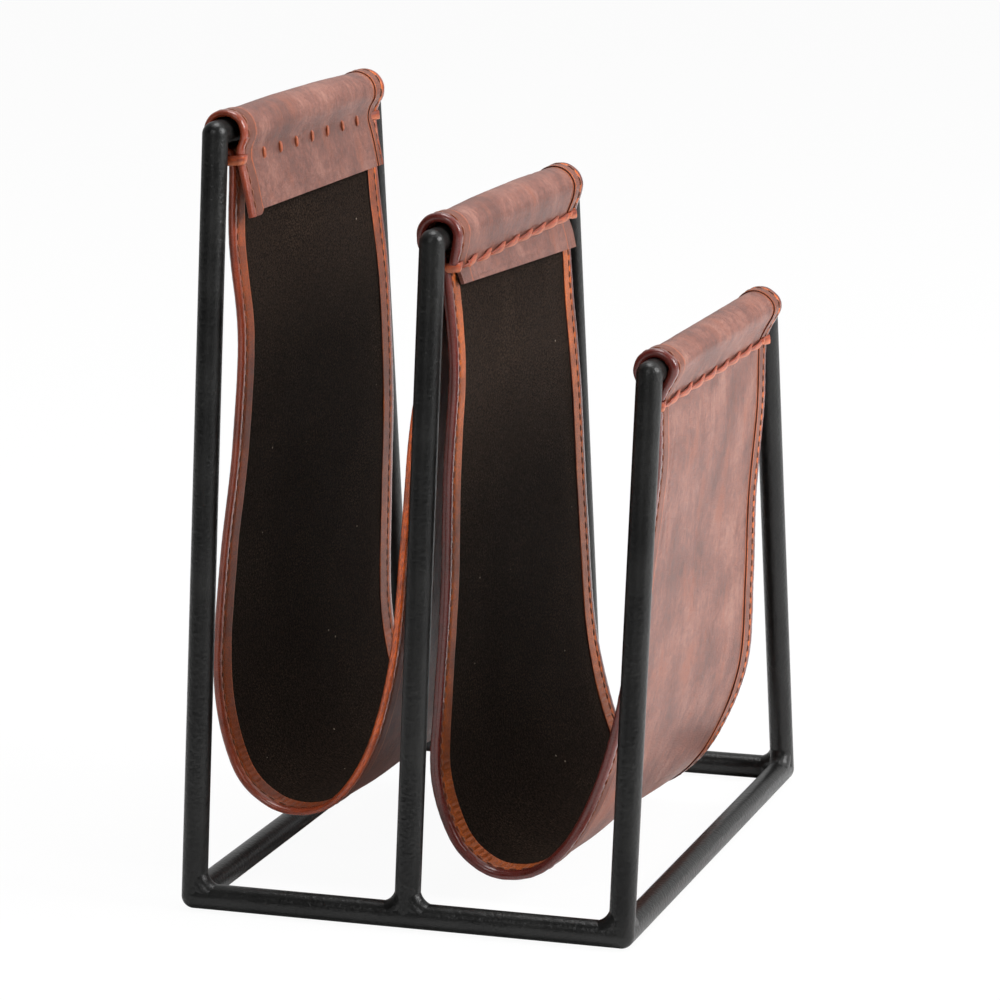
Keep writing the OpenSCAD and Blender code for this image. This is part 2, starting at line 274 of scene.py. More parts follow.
@dataclass
class Piece:
    """A mesh being gathered from lofts, with the leather coordinates of its points."""

    name: str
    points: list[Array] = field(default_factory=list)
    marks: list[Array] = field(default_factory=list)
    faces: list[Array] = field(default_factory=list)
    count: int = 0

    def loft(self, rings: Array, marks: Array) -> None:
        """Adds a closed solid: rings joined one to the next, with both ends closed.

        Each ring holds an outer row followed by the inner row backwards, so an end is closed by
        a ladder of faces between the two rows.

        Args:
            rings: Points, as (ring, place in ring, 3), in millimetres.
            marks: The same shape of (along, across, tag) values for the shaders.
        """
        n, m, _ = rings.shape
        i, j = np.meshgrid(np.arange(n - 1), np.arange(m), indexing="ij")
        k = (j + 1) % m
        corners = [i * m + j, i * m + k, (i + 1) * m + k, (i + 1) * m + j]
        sides = np.stack(corners, -1).reshape(-1, 4)
        a = np.arange(m // 2 - 1)
        ladder = np.stack([a, m - 1 - a, m - 2 - a, a + 1], -1)
        faces = np.vstack([sides, ladder, (ladder + (n - 1) * m)[:, ::-1]])
        flat = rings.reshape(-1, 3)
        if self._volume(flat, faces) < 0:
            faces = faces[:, ::-1]
        self.points.append(flat)
        self.marks.append(marks.reshape(-1, 3))
        self.faces.append(faces + self.count)
        self.count += len(flat)

    @staticmethod
    def _volume(points: Array, faces: Array) -> float:
        """Signed volume inside quads, from the corner at the first point.

        Args:
            points: Points, one a row.
            faces: Quads, one a row.

        Returns:
            The volume, negative when the faces look inwards.
        """
        a, b, c, d = (points[faces[:, k]] - points[0] for k in range(4))
        return float((np.cross(a, b) * c).sum() + (np.cross(a, c) * d).sum()) / 6

    def build(self, finish: bpy.types.Material, slot: Slot, nodes: Sequence[str],
              crease: float = 42.0) -> bpy.types.Object:
        """Makes the Blender object, dresses it and sets it on the rack.

        Args:
            finish: Its material.
            slot: A material slot; not used.
            nodes: CAD nodes it stands for.
            crease: Angle, in degrees, over which an edge stays sharp.

        Returns:
            The finished object.
        """
        mesh = bpy.data.meshes.new(self.name)
        points = np.vstack(self.points) * MM
        faces = np.vstack(self.faces)
        mesh.vertices.add(len(points))
        mesh.vertices.foreach_set("co", points.astype(np.float32).ravel())
        mesh.loops.add(faces.size)
        mesh.loops.foreach_set("vertex_index", faces.astype(np.int32).ravel())
        mesh.polygons.add(len(faces))
        mesh.polygons.foreach_set("loop_start", np.arange(0, faces.size, 4, dtype=np.int32))
        mesh.polygons.foreach_set("use_smooth", np.ones(len(faces), bool))
        mesh.update(calc_edges=True)
        layer = mesh.attributes.new("sheet", "FLOAT_VECTOR", "POINT")
        layer.data.foreach_set("vector", np.vstack(self.marks).astype(np.float32).ravel())
        mesh.validate()
        mesh.set_sharp_from_angle(angle=math.radians(crease))
        mesh.materials.append(finish)
        thing = bpy.data.objects.new(self.name, mesh)
        bpy.context.scene.collection.objects.link(thing)
        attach(thing, "root")
        if nodes:
            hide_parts(*nodes)
        log.info("%s: %d faces", self.name, len(faces))
        return thing


def sweep(path: Array, side: Array, width: Array, thick: Array, around: int = 10) -> Array:
    """Rings of a flat oval strap along a path.

    The strap's cross-section is an ellipse squared off a little: its half width along the side
    direction and its half thickness along the direction square to both.

    Args:
        path: Centre line, one point a row.
        side: Direction of the strap's width at each point.
        width: Width at each point.
        thick: Thickness at each point.
        around: Points round the strap; an even number.

    Returns:
        Rings, as (ring, place, 3).
    """
    along = np.gradient(path, axis=0)
    along /= np.linalg.norm(along, axis=1, keepdims=True)
    side = side - (side * along).sum(1, keepdims=True) * along
    side /= np.linalg.norm(side, axis=1, keepdims=True)
    up = np.cross(along, side)
    angle = (np.arange(around) + 0.5) * 2 * math.pi / around
    square = 0.7
    c = np.sign(np.cos(angle)) * np.abs(np.cos(angle)) ** square
    s = np.sign(np.sin(angle)) * np.abs(np.sin(angle)) ** square
    return (
        path[:, None]
        + side[:, None] * (width[:, None] / 2 * c)[:, :, None]
        + up[:, None] * (thick[:, None] / 2 * s)[:, :, None]
    )


# ---------------------------------------------------------------------------
# A pocket's surface
# ---------------------------------------------------------------------------


class PocketShape:
    """The sewn face of a pocket, as a soft surface that its layers and seams are built on.

    The surface is drawn between a line at the front edge and a line at the rear edge. A place
    on it is a distance along, a distance in from the front edge, and a lift off the sewn face,
    positive towards the outer leather.
    """

    STEP = 0.5

    def __init__(self, layers: Layers, front: Array, rear: Array) -> None:
        """Makes the surface from its two edge lines.

        Args:
            layers: The pocket's sizes.
            front: Control points of the front line, as (X, Z) rows.
            rear: Control points of the rear line, as many as the front's.
        """
        self.layers = layers
        a, b = through(front), through(rear)
        pace = sum(np.linalg.norm(np.diff(line, axis=0), axis=1) for line in (a, b)) / 2
        gone = np.concatenate([[0], np.cumsum(pace)])
        self.length = float(gone[-1])
        self.s = np.arange(0, self.length, self.STEP)
        soften = 1.4 / self.STEP
        self.front, self.rear = (
            softened(np.stack([np.interp(self.s, gone, line[:, k]) for k in (0, 1)], 1), soften)
            for line in (a, b)
        )
        self.front_slope = np.gradient(self.front, self.s, axis=0)
        self.rear_slope = np.gradient(self.rear, self.s, axis=0)
        self.warps: list[Callable[[Array, Array], Array]] = []
        self.slides: list[Callable[[Array, Array], tuple[Array, Array]]] = []
        self.thickness = 1.0

    def _read(self, table: Array, along: Array) -> Array:
        """Reads a table of (X, Z) values at distances along.

        Args:
            table: Values at each sample.
            along: Distances along.

        Returns:
            Values, with one more axis than the distances.
        """
        return np.stack([np.interp(along, self.s, table[:, k]) for k in (0, 1)], -1)

    def place(self, along: Array, inset: Array, lift: Array) -> Array:
        """Points on, above or below the surface.

        Args:
            along: Distances along the strip.
            inset: Distances in from the front edge.
            lift: Lifts off the sewn face.

        Returns:
            Points in millimetres, with one more axis than the inputs.
        """
        along, inset, lift = np.broadcast_arrays(
            np.asarray(along, float), np.asarray(inset, float), np.asarray(lift, float)
        )
        for slide in self.slides:
            along, inset = slide(along, inset)
        share = (inset / self.layers.width)[..., None]
        a, b = self._read(self.front, along), self._read(self.rear, along)
        slope = (self._read(self.front_slope, along) * (1 - share)
                 + self._read(self.rear_slope, along) * share)
        flat = a * (1 - share) + b * share
        skew = (b - a) / self.layers.width
        down = np.stack([slope[..., 0], np.zeros_like(along), slope[..., 1]], -1)
        across = np.stack([skew[..., 0], np.ones_like(along), skew[..., 1]], -1)
        normal = np.cross(across, down)
        normal /= np.linalg.norm(normal, axis=-1, keepdims=True)
        point = np.stack([flat[..., 0], inset - self.layers.width / 2, flat[..., 1]], -1)
        warped = sum((warp(along, inset) for warp in self.warps), np.zeros_like(along))
        off = lift * self.thickness + warped
        return point + normal * off[..., None]

    def crossing(self, height: float, start: float, end: float) -> float:
        """Distance along at which the front line crosses a height.

        Args:
            height: The height, Z.
            start: First distance along that is looked at.
            end: Last distance along that is looked at.

        Returns:
            The distance along of the nearest sample.
        """
        window = (self.s >= start) & (self.s <= end)
        return float(self.s[window][np.argmin(np.abs(self.front[window, 1] - height))])


def arc(x: float, z: float, radius: float, start: float, end: float, count: int) -> Array:
    """Points on a circle in the X-Z plane.

    Args:
        x: Centre, across.
        z: Centre, up.
        radius: The circle's radius.
        start: First angle, in degrees from +X towards +Z.
        end: Last angle.
        count: Number of points.

    Returns:
        The points, one a row.
    """
    angle = np.radians(np.linspace(start, end, count))
    return np.stack([x + radius * np.cos(angle), z + radius * np.sin(angle)], 1)


# ---------------------------------------------------------------------------
# Shader graphs
# ---------------------------------------------------------------------------


class Value:
    """A number in a shader graph, with the arithmetic of plain numbers."""

    def __init__(self, graph: "Graph", socket: bpy.types.NodeSocket) -> None:
        """Wraps a socket.

        Args:
            graph: The graph it belongs to.
            socket: The output socket that carries the number.
        """
        self.graph, self.socket = graph, socket

    def _math(self, kind: str, *others: "Value | float", swap: bool = False) -> "Value":
        """Joins this number to others with a Math node.

        Args:
            kind: The node's operation.
            others: The other operands.
            swap: Whether the other operand comes first.

        Returns:
            The result.
        """
        operands = [self, *others]
        if swap:
            operands = [others[0], self]
        return self.graph.node("ShaderNodeMath", {"operation": kind}, dict(enumerate(operands)))

    def __add__(self, other: "Value | float") -> "Value":
        """Sum.

        Args:
            other: The other value.

        Returns:
            The result.
        """
        return self._math("ADD", other)

    __radd__ = __add__

    def __mul__(self, other: "Value | float") -> "Value":
        """Product.

        Args:
            other: The other value.

        Returns:
            The result.
        """
        return self._math("MULTIPLY", other)

    __rmul__ = __mul__

    def __sub__(self, other: "Value | float") -> "Value":
        """Difference.

        Args:
            other: The other value.

        Returns:
            The result.
        """
        return self._math("SUBTRACT", other)

    def __rsub__(self, other: float) -> "Value":
        """Difference from a number.

        Args:
            other: The other value.

        Returns:
            The result.
        """
        return self._math("SUBTRACT", other, swap=True)

    def __truediv__(self, other: "Value | float") -> "Value":
        """Quotient.

        Args:
            other: The other value.

        Returns:
            The result.
        """
        return self._math("DIVIDE", other)

    def __pow__(self, other: float) -> "Value":
        """Power.

        Args:
            other: The other value.

        Returns:
            The result.
        """
        return self._math("POWER", other)

    def modulo(self, other: float) -> "Value":
        """Remainder, never negative.

        Args:
            other: The other value.

        Returns:
            The result.
        """
        return self._math("FLOORED_MODULO", other)

    def absolute(self) -> "Value":
        """Size without its sign."""
        return self._math("ABSOLUTE")

    def step(self, start: float, end: float) -> "Value":
        """Smooth step between two numbers, from 0 at start to 1 at end.

        Args:
            start: Where it leaves 0.
            end: Where it reaches 1.

        Returns:
            The step.
        """
        inputs = {"Value": self, "From Min": start, "From Max": end}
        return self.graph.node("ShaderNodeMapRange", {"interpolation_type": "SMOOTHSTEP"}, inputs)

    def hump(self, centre: float, width: float) -> "Value":
        """Hump of height 1 at the centre, gone at the width from it.

        Args:
            centre: The hump's middle.
            width: Its reach to each side.

        Returns:
            The hump.
        """
        return (self - centre).absolute().step(width, 0.0)


Colour = tuple[float, float, float]


class Graph:
    """A material's shader graph."""

    def __init__(self, name: str) -> None:
        """Starts an empty material.

        Args:
            name: The material's name.
        """
        self.material = bpy.data.materials.new(name)
        self.material.use_nodes = True
        self.tree = self.material.node_tree
        self.tree.nodes.clear()

    def node(self, kind: str, settings: dict, inputs: dict, output: int | str = 0) -> Value:
        """Adds a node.

        Args:
            kind: The node's type.
            settings: Values for the node's own properties.
            inputs: Values or links for its sockets, by name or number.
            output: The output that is wanted.

        Returns:
            That output.
        """
        made = self.tree.nodes.new(kind)
        for key, value in settings.items():
            setattr(made, key, value)
        for key, value in inputs.items():
            if isinstance(value, Value):
                self.tree.links.new(value.socket, made.inputs[key])
            elif isinstance(value, tuple) and len(value) == 3 and made.inputs[key].type == "RGBA":
                made.inputs[key].default_value = (*value, 1.0)
            else:
                made.inputs[key].default_value = value
        return Value(self, made.outputs[output])

    def marks(self) -> tuple[Value, Value, Value, Value]:
        """The piece's own leather coordinates.

        Returns:
            The whole vector, then distance along, distance in and tag.
        """
        whole = self.node("ShaderNodeAttribute", {"attribute_name": "sheet"}, {}, "Vector")
        parts = [self.node("ShaderNodeSeparateXYZ", {}, {0: whole}, k) for k in range(3)]
        return whole, parts[0], parts[1], parts[2]

    def place(self) -> Value:
        """Position in the rack's frame, in metres.

        Returns:
            The position.
        """
        return self.node("ShaderNodeTexCoord", {}, {}, "Object")

    def stretched(self, vector: Value, scale: Colour) -> Value:
        """A vector with each axis scaled.

        Args:
            vector: The vector.
            scale: The three factors.

        Returns:
            The scaled vector.
        """
        return self.node("ShaderNodeVectorMath", {"operation": "MULTIPLY"}, {0: vector, 1: scale})

    def noise(self, vector: Value, scale: float, detail: float = 3.0, rough: float = 0.55) -> Value:
        """Cloudy noise.

        Args:
            vector: Where it is read.
            scale: Clouds to a unit of the vector.
            detail: Octaves.
            rough: Strength of each finer octave.

        Returns:
            The noise, about 0.5.
        """
        inputs = {"Vector": vector, "Scale": scale, "Detail": detail, "Roughness": rough}
        return self.node("ShaderNodeTexNoise", {}, inputs)

    def cells(self, vector: Value, scale: float, feature: str = "F1") -> Value:
        """Distance pattern of scattered cells.

        Args:
            vector: Where it is read.
            scale: Cells to a unit of the vector.
            feature: Which distance is wanted.

        Returns:
            The distance.
        """
        inputs = {"Vector": vector, "Scale": scale}
        return self.node("ShaderNodeTexVoronoi", {"feature": feature}, inputs, "Distance")

    def blend(self, share: Value | float, first: Value | Colour, second: Value | Colour) -> Value:
        """Colour between two colours.

        Args:
            share: 0 for the first, 1 for the second.
            first: The first colour.
            second: The second colour.

        Returns:
            The blend.
        """
        inputs = {"Factor": share, 6: first, 7: second}
        return self.node("ShaderNodeMix", {"data_type": "RGBA"}, inputs, 2)

    def relief(self, height: Value, depth: float, under: Value | None = None) -> Value:
        """Surface relief from a height.

        Args:
            height: The height, from 0 to 1.
            depth: How deep 1 is, in metres.
            under: Relief that this one lies on.

        Returns:
            The normal.
        """
        inputs: dict = {"Height": height, "Distance": depth, "Strength": 1.0}
        if under is not None:
            inputs["Normal"] = under
        return self.node("ShaderNodeBump", {}, inputs)

    def surface(self, inputs: dict) -> bpy.types.Material:
        """Closes the graph with one principled surface.

        Args:
            inputs: The surface's inputs.

        Returns:
            The material.
        """
        shader = self.node("ShaderNodeBsdfPrincipled", {}, inputs)
        self.close(shader)
        return self.material

    def close(self, shader: Value) -> None:
        """Links a shader to the material's output.

        Args:
            shader: The shader.
        """
        end = self.tree.nodes.new("ShaderNodeOutputMaterial")
        self.tree.links.new(shader.socket, end.inputs["Surface"])


# ---------------------------------------------------------------------------
# Finishes
# ---------------------------------------------------------------------------


@dataclass(frozen=True)
class WaxedLeather:
    """Waxed brown leather: pebbled grain, faint streaks along the strip, warm clouds."""

    name: str = "waxed_leather"
    deep: Colour = (0.085, 0.024, 0.015)
    middle: Colour = (0.205, 0.068, 0.045)
    pale: Colour = (0.36, 0.165, 0.120)
    warm: Colour = (0.30, 0.085, 0.040)
    edge: Colour = (0.46, 0.105, 0.020)
    width: float = 160.0

    def material(self) -> bpy.types.Material:
        """Builds the finish.

        Returns:
            The material.
        """
        g = Graph(self.name)
        sheet, _, inset, _ = g.marks()
        broad = g.noise(g.stretched(sheet, (1.0, 1.0, 0.0)), 0.035, 4.0)
        clouds = g.noise(g.stretched(sheet, (0.6, 1.0, 0.0)), 0.06, 3.0)
        streak = g.noise(g.stretched(sheet, (0.04, 0.42, 0.0)), 1.0, 4.0, 0.6)
        mottle = g.noise(sheet, 0.45, 5.0, 0.6)
        grain = g.cells(g.stretched(sheet, (1.0, 1.15, 0.0)), 1.5)
        pore = g.noise(sheet, 2.4, 4.0, 0.65)
        tone = broad * 0.55 + streak * 0.10 + mottle * 0.40
        colour = g.blend(tone.step(0.36, 0.58), self.deep, self.middle)
        colour = g.blend(tone.step(0.50, 0.72), colour, self.pale)
        colour = g.blend(clouds.step(0.52, 0.72) * 0.6, colour, self.warm)
        colour = g.blend(pore.step(0.56, 0.38) * 0.40, colour, self.deep)
        colour = g.blend(pore.step(0.54, 0.72) * 0.30, colour, self.pale)
        near_edge = inset.hump(12.5, 0.9) + inset.hump(self.width - 12.5, 0.9)
        colour = g.blend(near_edge * 0.75, colour, self.edge)
        coarse = g.noise(sheet, 1.1, 4.0, 0.6)
        height = grain * 0.4 + pore * 0.5 + coarse * 0.9
        normal = g.relief(height, 0.00035)
        rough = (mottle * 0.22 + pore * 0.20) + 0.27
        return g.surface({
            "Base Color": colour, "Roughness": rough, "Normal": normal,
            "Specular IOR Level": 0.5, "Coat Weight": 0.10, "Coat Roughness": 0.35,
        })


@dataclass(frozen=True)
class BindingLeather:
    """Binding leather, dyed darker on its rolled edge, with a painted highlight along a stretch.

    The outer face is as pale as the leather beside it, the inner face brown, and the stitched
    groove and the cut edges orange; painted shade darkens the stitch line, and a painted shadow
    lines the step at the cut edge.
    """

    name: str = "binding_leather"
    deep: Colour = (0.060, 0.013, 0.007)
    roll: Colour = (0.25, 0.040, 0.014)
    # orange of a highlight painted on the roll
    glow: Colour = (0.74, 0.125, 0.012)
    highlight_along: tuple[float, float] = (330.0, 420.0)
    outer: Colour = (0.235, 0.080, 0.050)
    inner: Colour = (0.40, 0.080, 0.016)
    groove: Colour = (0.78, 0.165, 0.018)
    stitch_in: float = 4.6
    width: float = 160.0

    def material(self) -> bpy.types.Material:
        """Builds the finish.

        Returns:
            The material.
        """
        g = Graph(self.name)
        sheet, along, inset, lift = g.marks()
        from_edge = (inset * -1.0 + self.width / 2).absolute() * -1.0 + self.width / 2
        broad = g.noise(g.stretched(sheet, (1.0, 0.6, 0.4)), 0.06, 4.0)
        fine = g.noise(g.stretched(sheet, (0.5, 1.6, 1.6)), 0.9, 5.0, 0.62)
        speck = g.noise(sheet, 2.4, 4.0, 0.65)
        # painted highlight: a bright orange streak on the roll over a stretch along it, broken by
        # noise
        highlight_mask = along.step(*self.highlight_along) * fine.step(0.30, 0.62)
        edge = g.blend(highlight_mask, self.roll, self.glow)
        faces = g.blend(lift.step(-0.4, 0.6), self.inner, self.outer)
        colour = g.blend(from_edge.step(3.3, 3.9), edge, faces)
        colour = g.blend(from_edge.hump(3.9, 0.9) * 0.85, colour, self.groove)
        # painted shade along the stitch groove
        colour = g.blend(from_edge.hump(self.stitch_in, 0.5) * 0.5, colour, self.deep)
        colour = g.blend(from_edge.step(10.9, 11.6) * 0.8, colour, self.groove)
        colour = g.blend(broad.step(0.56, 0.36) * 0.45, colour, self.deep)
        colour = g.blend(speck.step(0.60, 0.40) * from_edge.step(3.0, 5.0) * 0.7, colour, self.deep)
        # painted shadow: a dark line in the step at the binding's cut edge
        colour = g.blend(from_edge.step(11.75, 11.95), colour, self.deep)
        height = fine * 0.5 + speck * 0.5
        normal = g.relief(height, 0.00020)
        rough = speck * 0.25 + from_edge.step(2.5, 5.0) * 0.16 + 0.16
        return g.surface({
            "Base Color": colour, "Roughness": rough, "Normal": normal,
            "Specular IOR Level": 0.32, "Coat Roughness": 0.16,
            "Coat Weight": from_edge.step(3.6, 2.6) * 0.5,
        })


@dataclass(frozen=True)
class DarkBindingLeather(BindingLeather):
    """The short pocket's binding: a dark red roll all along and a paler inner band."""

    name: str = "dark_binding_leather"
    roll: Colour = (0.115, 0.015, 0.010)
    # no painted highlight on this roll: its highlight colour is the roll's own
    glow: Colour = (0.115, 0.015, 0.010)
    highlight_along: tuple[float, float] = (0.0, 1.0)
    inner: Colour = (0.58, 0.130, 0.022)


@dataclass(frozen=True)
class Suede:
    """Very dark brown suede with a short nap that catches light in specks, and some lint."""

    name: str = "dark_suede"
    deep: Colour = (0.0016, 0.0010, 0.0007)
    nap: Colour = (0.034, 0.0200, 0.0135)
    fleck: Colour = (0.13, 0.085, 0.055)
    lint: Colour = (0.55, 0.45, 0.34)

    def material(self) -> bpy.types.Material:
        """Builds the finish.

        Returns:
            The material.
        """
        g = Graph(self.name)
        sheet, _, _, _ = g.marks()
        broad = g.noise(sheet, 0.022, 3.0)
        brush = g.noise(g.stretched(sheet, (0.35, 1.0, 1.0)), 0.9, 4.0, 0.6)
        nap = g.noise(sheet, 1.15, 5.0, 0.75)
        fleck = g.noise(sheet, 1.7, 3.0, 0.8)
        lint = g.cells(sheet, 0.075)
        colour = g.blend((nap * 0.75 + brush * 0.25).step(0.44, 0.60), self.deep, self.nap)
        colour = g.blend(broad.step(0.46, 0.66) * nap.step(0.50, 0.66) * 0.35, colour, self.fleck)
        colour = g.blend(fleck.step(0.58, 0.70) * 0.40, colour, self.fleck)
        colour = g.blend(lint.step(0.034, 0.024) * 0.7, colour, self.lint)
        normal = g.relief(nap * 0.8 + brush * 0.2, 0.0006)
        return g.surface({
            "Base Color": colour, "Roughness": 0.95, "Normal": normal, "Specular IOR Level": 0.06,
            "Sheen Weight": 0.05, "Sheen Roughness": 0.5, "Sheen Tint": (0.6, 0.45, 0.35, 1.0),
        })


@dataclass(frozen=True)
class LaceLeather:
    """Flat orange lace: smooth grain face, with a painted highlight along one side and painted
    shade along the other.
    """

    name: str = "orange_lace"
    deep: Colour = (0.17, 0.022, 0.006)
    middle: Colour = (0.46, 0.075, 0.014)
    pale: Colour = (0.58, 0.19, 0.085)

    def material(self) -> bpy.types.Material:
        """Builds the finish.

        Returns:
            The material.
        """
        g = Graph(self.name)
        sheet, _, across, _ = g.marks()
        fibre = g.noise(g.stretched(sheet, (0.25, 2.2, 1.0)), 0.9, 5.0, 0.6)
        speck = g.noise(sheet, 2.8, 3.0, 0.6)
        colour = g.blend(fibre.step(0.35, 0.65), self.deep, self.middle)
        # painted highlight along one side of the strap
        colour = g.blend(across.step(0.15, -0.35) * 0.55, colour, self.pale)
        # painted shade along the other side of the strap
        colour = g.blend(across.step(0.35, 0.95) * 0.7, colour, self.deep)
        colour = g.blend(speck.step(0.62, 0.42) * 0.25, colour, self.deep)
        normal = g.relief(fibre * 0.6 + speck * 0.4, 0.00016)
        return g.surface({
            "Base Color": colour, "Roughness": speck * 0.2 + 0.34, "Normal": normal,
            "Specular IOR Level": 0.5,
        })


@dataclass(frozen=True)
class WaxedThread:
    """Twisted brown thread, rubbed with wax."""

    name: str = "waxed_thread"
    deep: Colour = (0.07, 0.018, 0.010)
    light: Colour = (0.34, 0.11, 0.045)
    twist: float = 2.6

    def material(self) -> bpy.types.Material:
        """Builds the finish.

        Returns:
            The material.
        """
        g = Graph(self.name)
        sheet, along, _, turn = g.marks()
        twist = ((along * self.twist + turn).modulo(1.0) - 0.5).absolute() * 2.0
        worn = g.noise(sheet, 0.6, 3.0)
        colour = g.blend((twist * 0.7 + worn * 0.5).step(0.30, 0.85), self.deep, self.light)
        normal = g.relief(twist, 0.00012)
        return g.surface({
            "Base Color": colour, "Roughness": worn * 0.25 + 0.42, "Normal": normal,
            "Sheen Weight": 0.1,
        })


@dataclass(frozen=True)
class CoatedSteel:
    """Satin black coating with a light orange peel and a few pits."""

    name: str = "black_coating"
    deep: Colour = (0.0022, 0.0022, 0.0021)
    dusty: Colour = (0.0095, 0.0095, 0.0090)

    def material(self) -> bpy.types.Material:
        """Builds the finish.

        Returns:
            The material.
        """
        g = Graph(self.name)
        place = g.place()
        cloud = g.noise(place, 45.0, 4.0)
        peel = g.noise(place, 620.0, 2.0, 0.5)
        fine = g.noise(place, 2400.0, 3.0, 0.6)
        pits = g.cells(place, 330.0).step(0.16, 0.05)
        colour = g.blend((cloud * 0.6 + fine * 0.4).step(0.42, 0.62), self.deep, self.dusty)
        normal = g.relief(peel, 0.00022)
        normal = g.relief(fine * 0.5 - pits * 0.6, 0.00006, normal)
        rough = cloud * 0.14 + fine * 0.16 + 0.22
        return g.surface({
            "Base Color": colour, "Roughness": rough, "Normal": normal, "Specular IOR Level": 0.34,
        })


# ---------------------------------------------------------------------------
# Pockets
# ---------------------------------------------------------------------------

# Line of each pocket below its lacings. A point is (share of the way across, share of the way
# up, side whose height it is measured on: 0 left, 1 right).
TALL_FRONT = [(0.035, 0.87, 0), (0.072, 0.73, 0), (0.035, 0.56, 0), (-0.040, 0.38, 0),
              (-0.066, 0.19, 0), (0.010, 0.065, 0), (0.150, 0.012, 0), (0.325, 0, 0),
              (0.500, 0.033, 1), (0.660, 0.135, 1), (0.770, 0.30, 1), (0.825, 0.50, 1),
              (0.880, 0.72, 1), (0.965, 0.90, 1)]
TALL_REAR = [(0.072, 0.87, 0), (0.118, 0.73, 0), (0.134, 0.56, 0), (0.118, 0.38, 0),
             (0.108, 0.19, 0), (0.178, 0.065, 0), (0.300, 0.012, 0), (0.460, 0, 0),
             (0.610, 0.033, 1), (0.745, 0.135, 1), (0.822, 0.30, 1), (0.860, 0.50, 1),
             (0.900, 0.72, 1), (0.970, 0.90, 1)]
SHORT_FRONT = [(0.064, 0.85, 0), (0.038, 0.68, 0), (0.020, 0.48, 0), (-0.022, 0.29, 0),
               (-0.033, 0.16, 0), (0.043, 0.065, 0), (0.150, 0.018, 0), (0.290, 0, 0),
               (0.470, 0.022, 1), (0.640, 0.110, 1), (0.787, 0.270, 1), (0.885, 0.47, 1),
               (0.950, 0.66, 1), (1.005, 0.86, 1)]
SHORT_REAR = [(0.044, 0.85, 0), (0.088, 0.68, 0), (0.117, 0.48, 0), (0.149, 0.29, 0),
              (0.215, 0.16, 0), (0.300, 0.065, 0), (0.385, 0.018, 0), (0.505, 0, 0),
              (0.635, 0.022, 1), (0.790, 0.110, 1), (0.925, 0.270, 1), (0.950, 0.47, 1),
              (0.960, 0.66, 1), (0.998, 0.86, 1)]


@dataclass(frozen=True)
class Drape:
    """How a pocket hangs between two rails."""

    layers: Layers
    left: Rail
    right: Rail
    bottom: float
    left_flap: float
    left_drop: float
    right_drop: float
    right_flap: float = 12.0
    wall_side: float = 4.2
    right_wall_side: float = 3.4
    step_gap: float = 0.2
    flare: float = 0.2
    wrap_turn: float = 250.0
    wrap_steps: int = 8

    @property
    def flap_side(self) -> float:
        """Sideways place of the left flap at the lacing, from the rail's centre."""
        return self.wall_side + 2 * self.layers.inner_hem + self.step_gap

    @property
    def right_flap_side(self) -> float:
        """Sideways place of the right flap at the lacing."""
        return self.right_wall_side - 2 * self.layers.inner_hem - self.step_gap

    def over_left(self, close: float) -> Array:
        """Control points up the left flap, over the rail and down to the lacing.

        Args:
            close: How far the lacing draws both layers in under the rail.

        Returns:
            (X, Z) rows.
        """
        rail, drop, flap = self.left, self.left_drop, self.left_flap
        x = rail.x + self.flap_side - close
        start = [(x + self.flare * flap, rail.z - drop - flap),
                 (x + self.flare * flap / 2, rail.z - drop - flap / 2), (x, rail.z - drop)]
        over = arc(rail.x, rail.z, self.layers.wrap_radius, 0, self.wrap_turn, self.wrap_steps)
        return np.vstack([start, over, [(rail.x + self.wall_side - close, rail.z - drop)]])

    def over_right(self, close: float) -> Array:
        """Control points from the right lacing over the rail and down the hidden flap.

        Args:
            close: How far the lacing draws both layers in under the rail.

        Returns:
            (X, Z) rows.
        """
        rail, drop, flap = self.right, self.right_drop, self.right_flap
        x = rail.x + self.right_flap_side - close
        over = arc(rail.x, rail.z, self.layers.wrap_radius, 0, self.wrap_turn, self.wrap_steps)
        end = [(x, rail.z - drop), (x - self.flare * flap / 2, rail.z - drop - flap / 2),
               (x - self.flare * flap, rail.z - drop - flap)]
        return np.vstack([[(rail.x + self.right_wall_side - close, rail.z - drop)], over, end])

    def under_right(self, close: float) -> Array:
        """Control points of an end that stops in the right rail's lacing as a third layer.

        Args:
            close: How far the lacing draws it in under the rail.

        Returns:
            (X, Z) rows.
        """
        rail, drop = self.right, self.right_drop
        x = rail.x + self.wall_side - 2 * self.layers.outer_hem - self.step_gap - close
        hole = rail.z - drop
        return np.array([(x, hole - 5), (x - 1, hole), (x - 3, hole + 2.2)])

    def hang(self, line: Sequence[tuple[float, float, int]]) -> Array:
        """Control points of the hanging part.

        Args:
            line: The pocket's line, in shares.

        Returns:
            (X, Z) rows.
        """
        low = self.bottom + self.layers.outer_hem
        table = np.array(line, float)
        left_top, right_top = self.left.z - self.left_drop, self.right.z - self.right_drop
        tops = np.where(table[:, 2] == 0, left_top, right_top)
        x = self.left.x + table[:, 0] * (self.right.x - self.left.x)
        return np.stack([x, low + table[:, 1] * (tops - low)], 1)


@dataclass
class Seams:
    """Distances along a pocket at which its lacings cross it."""

    left_flap: float
    left_wall: float
    right_wall: float
    right_flap: float | None


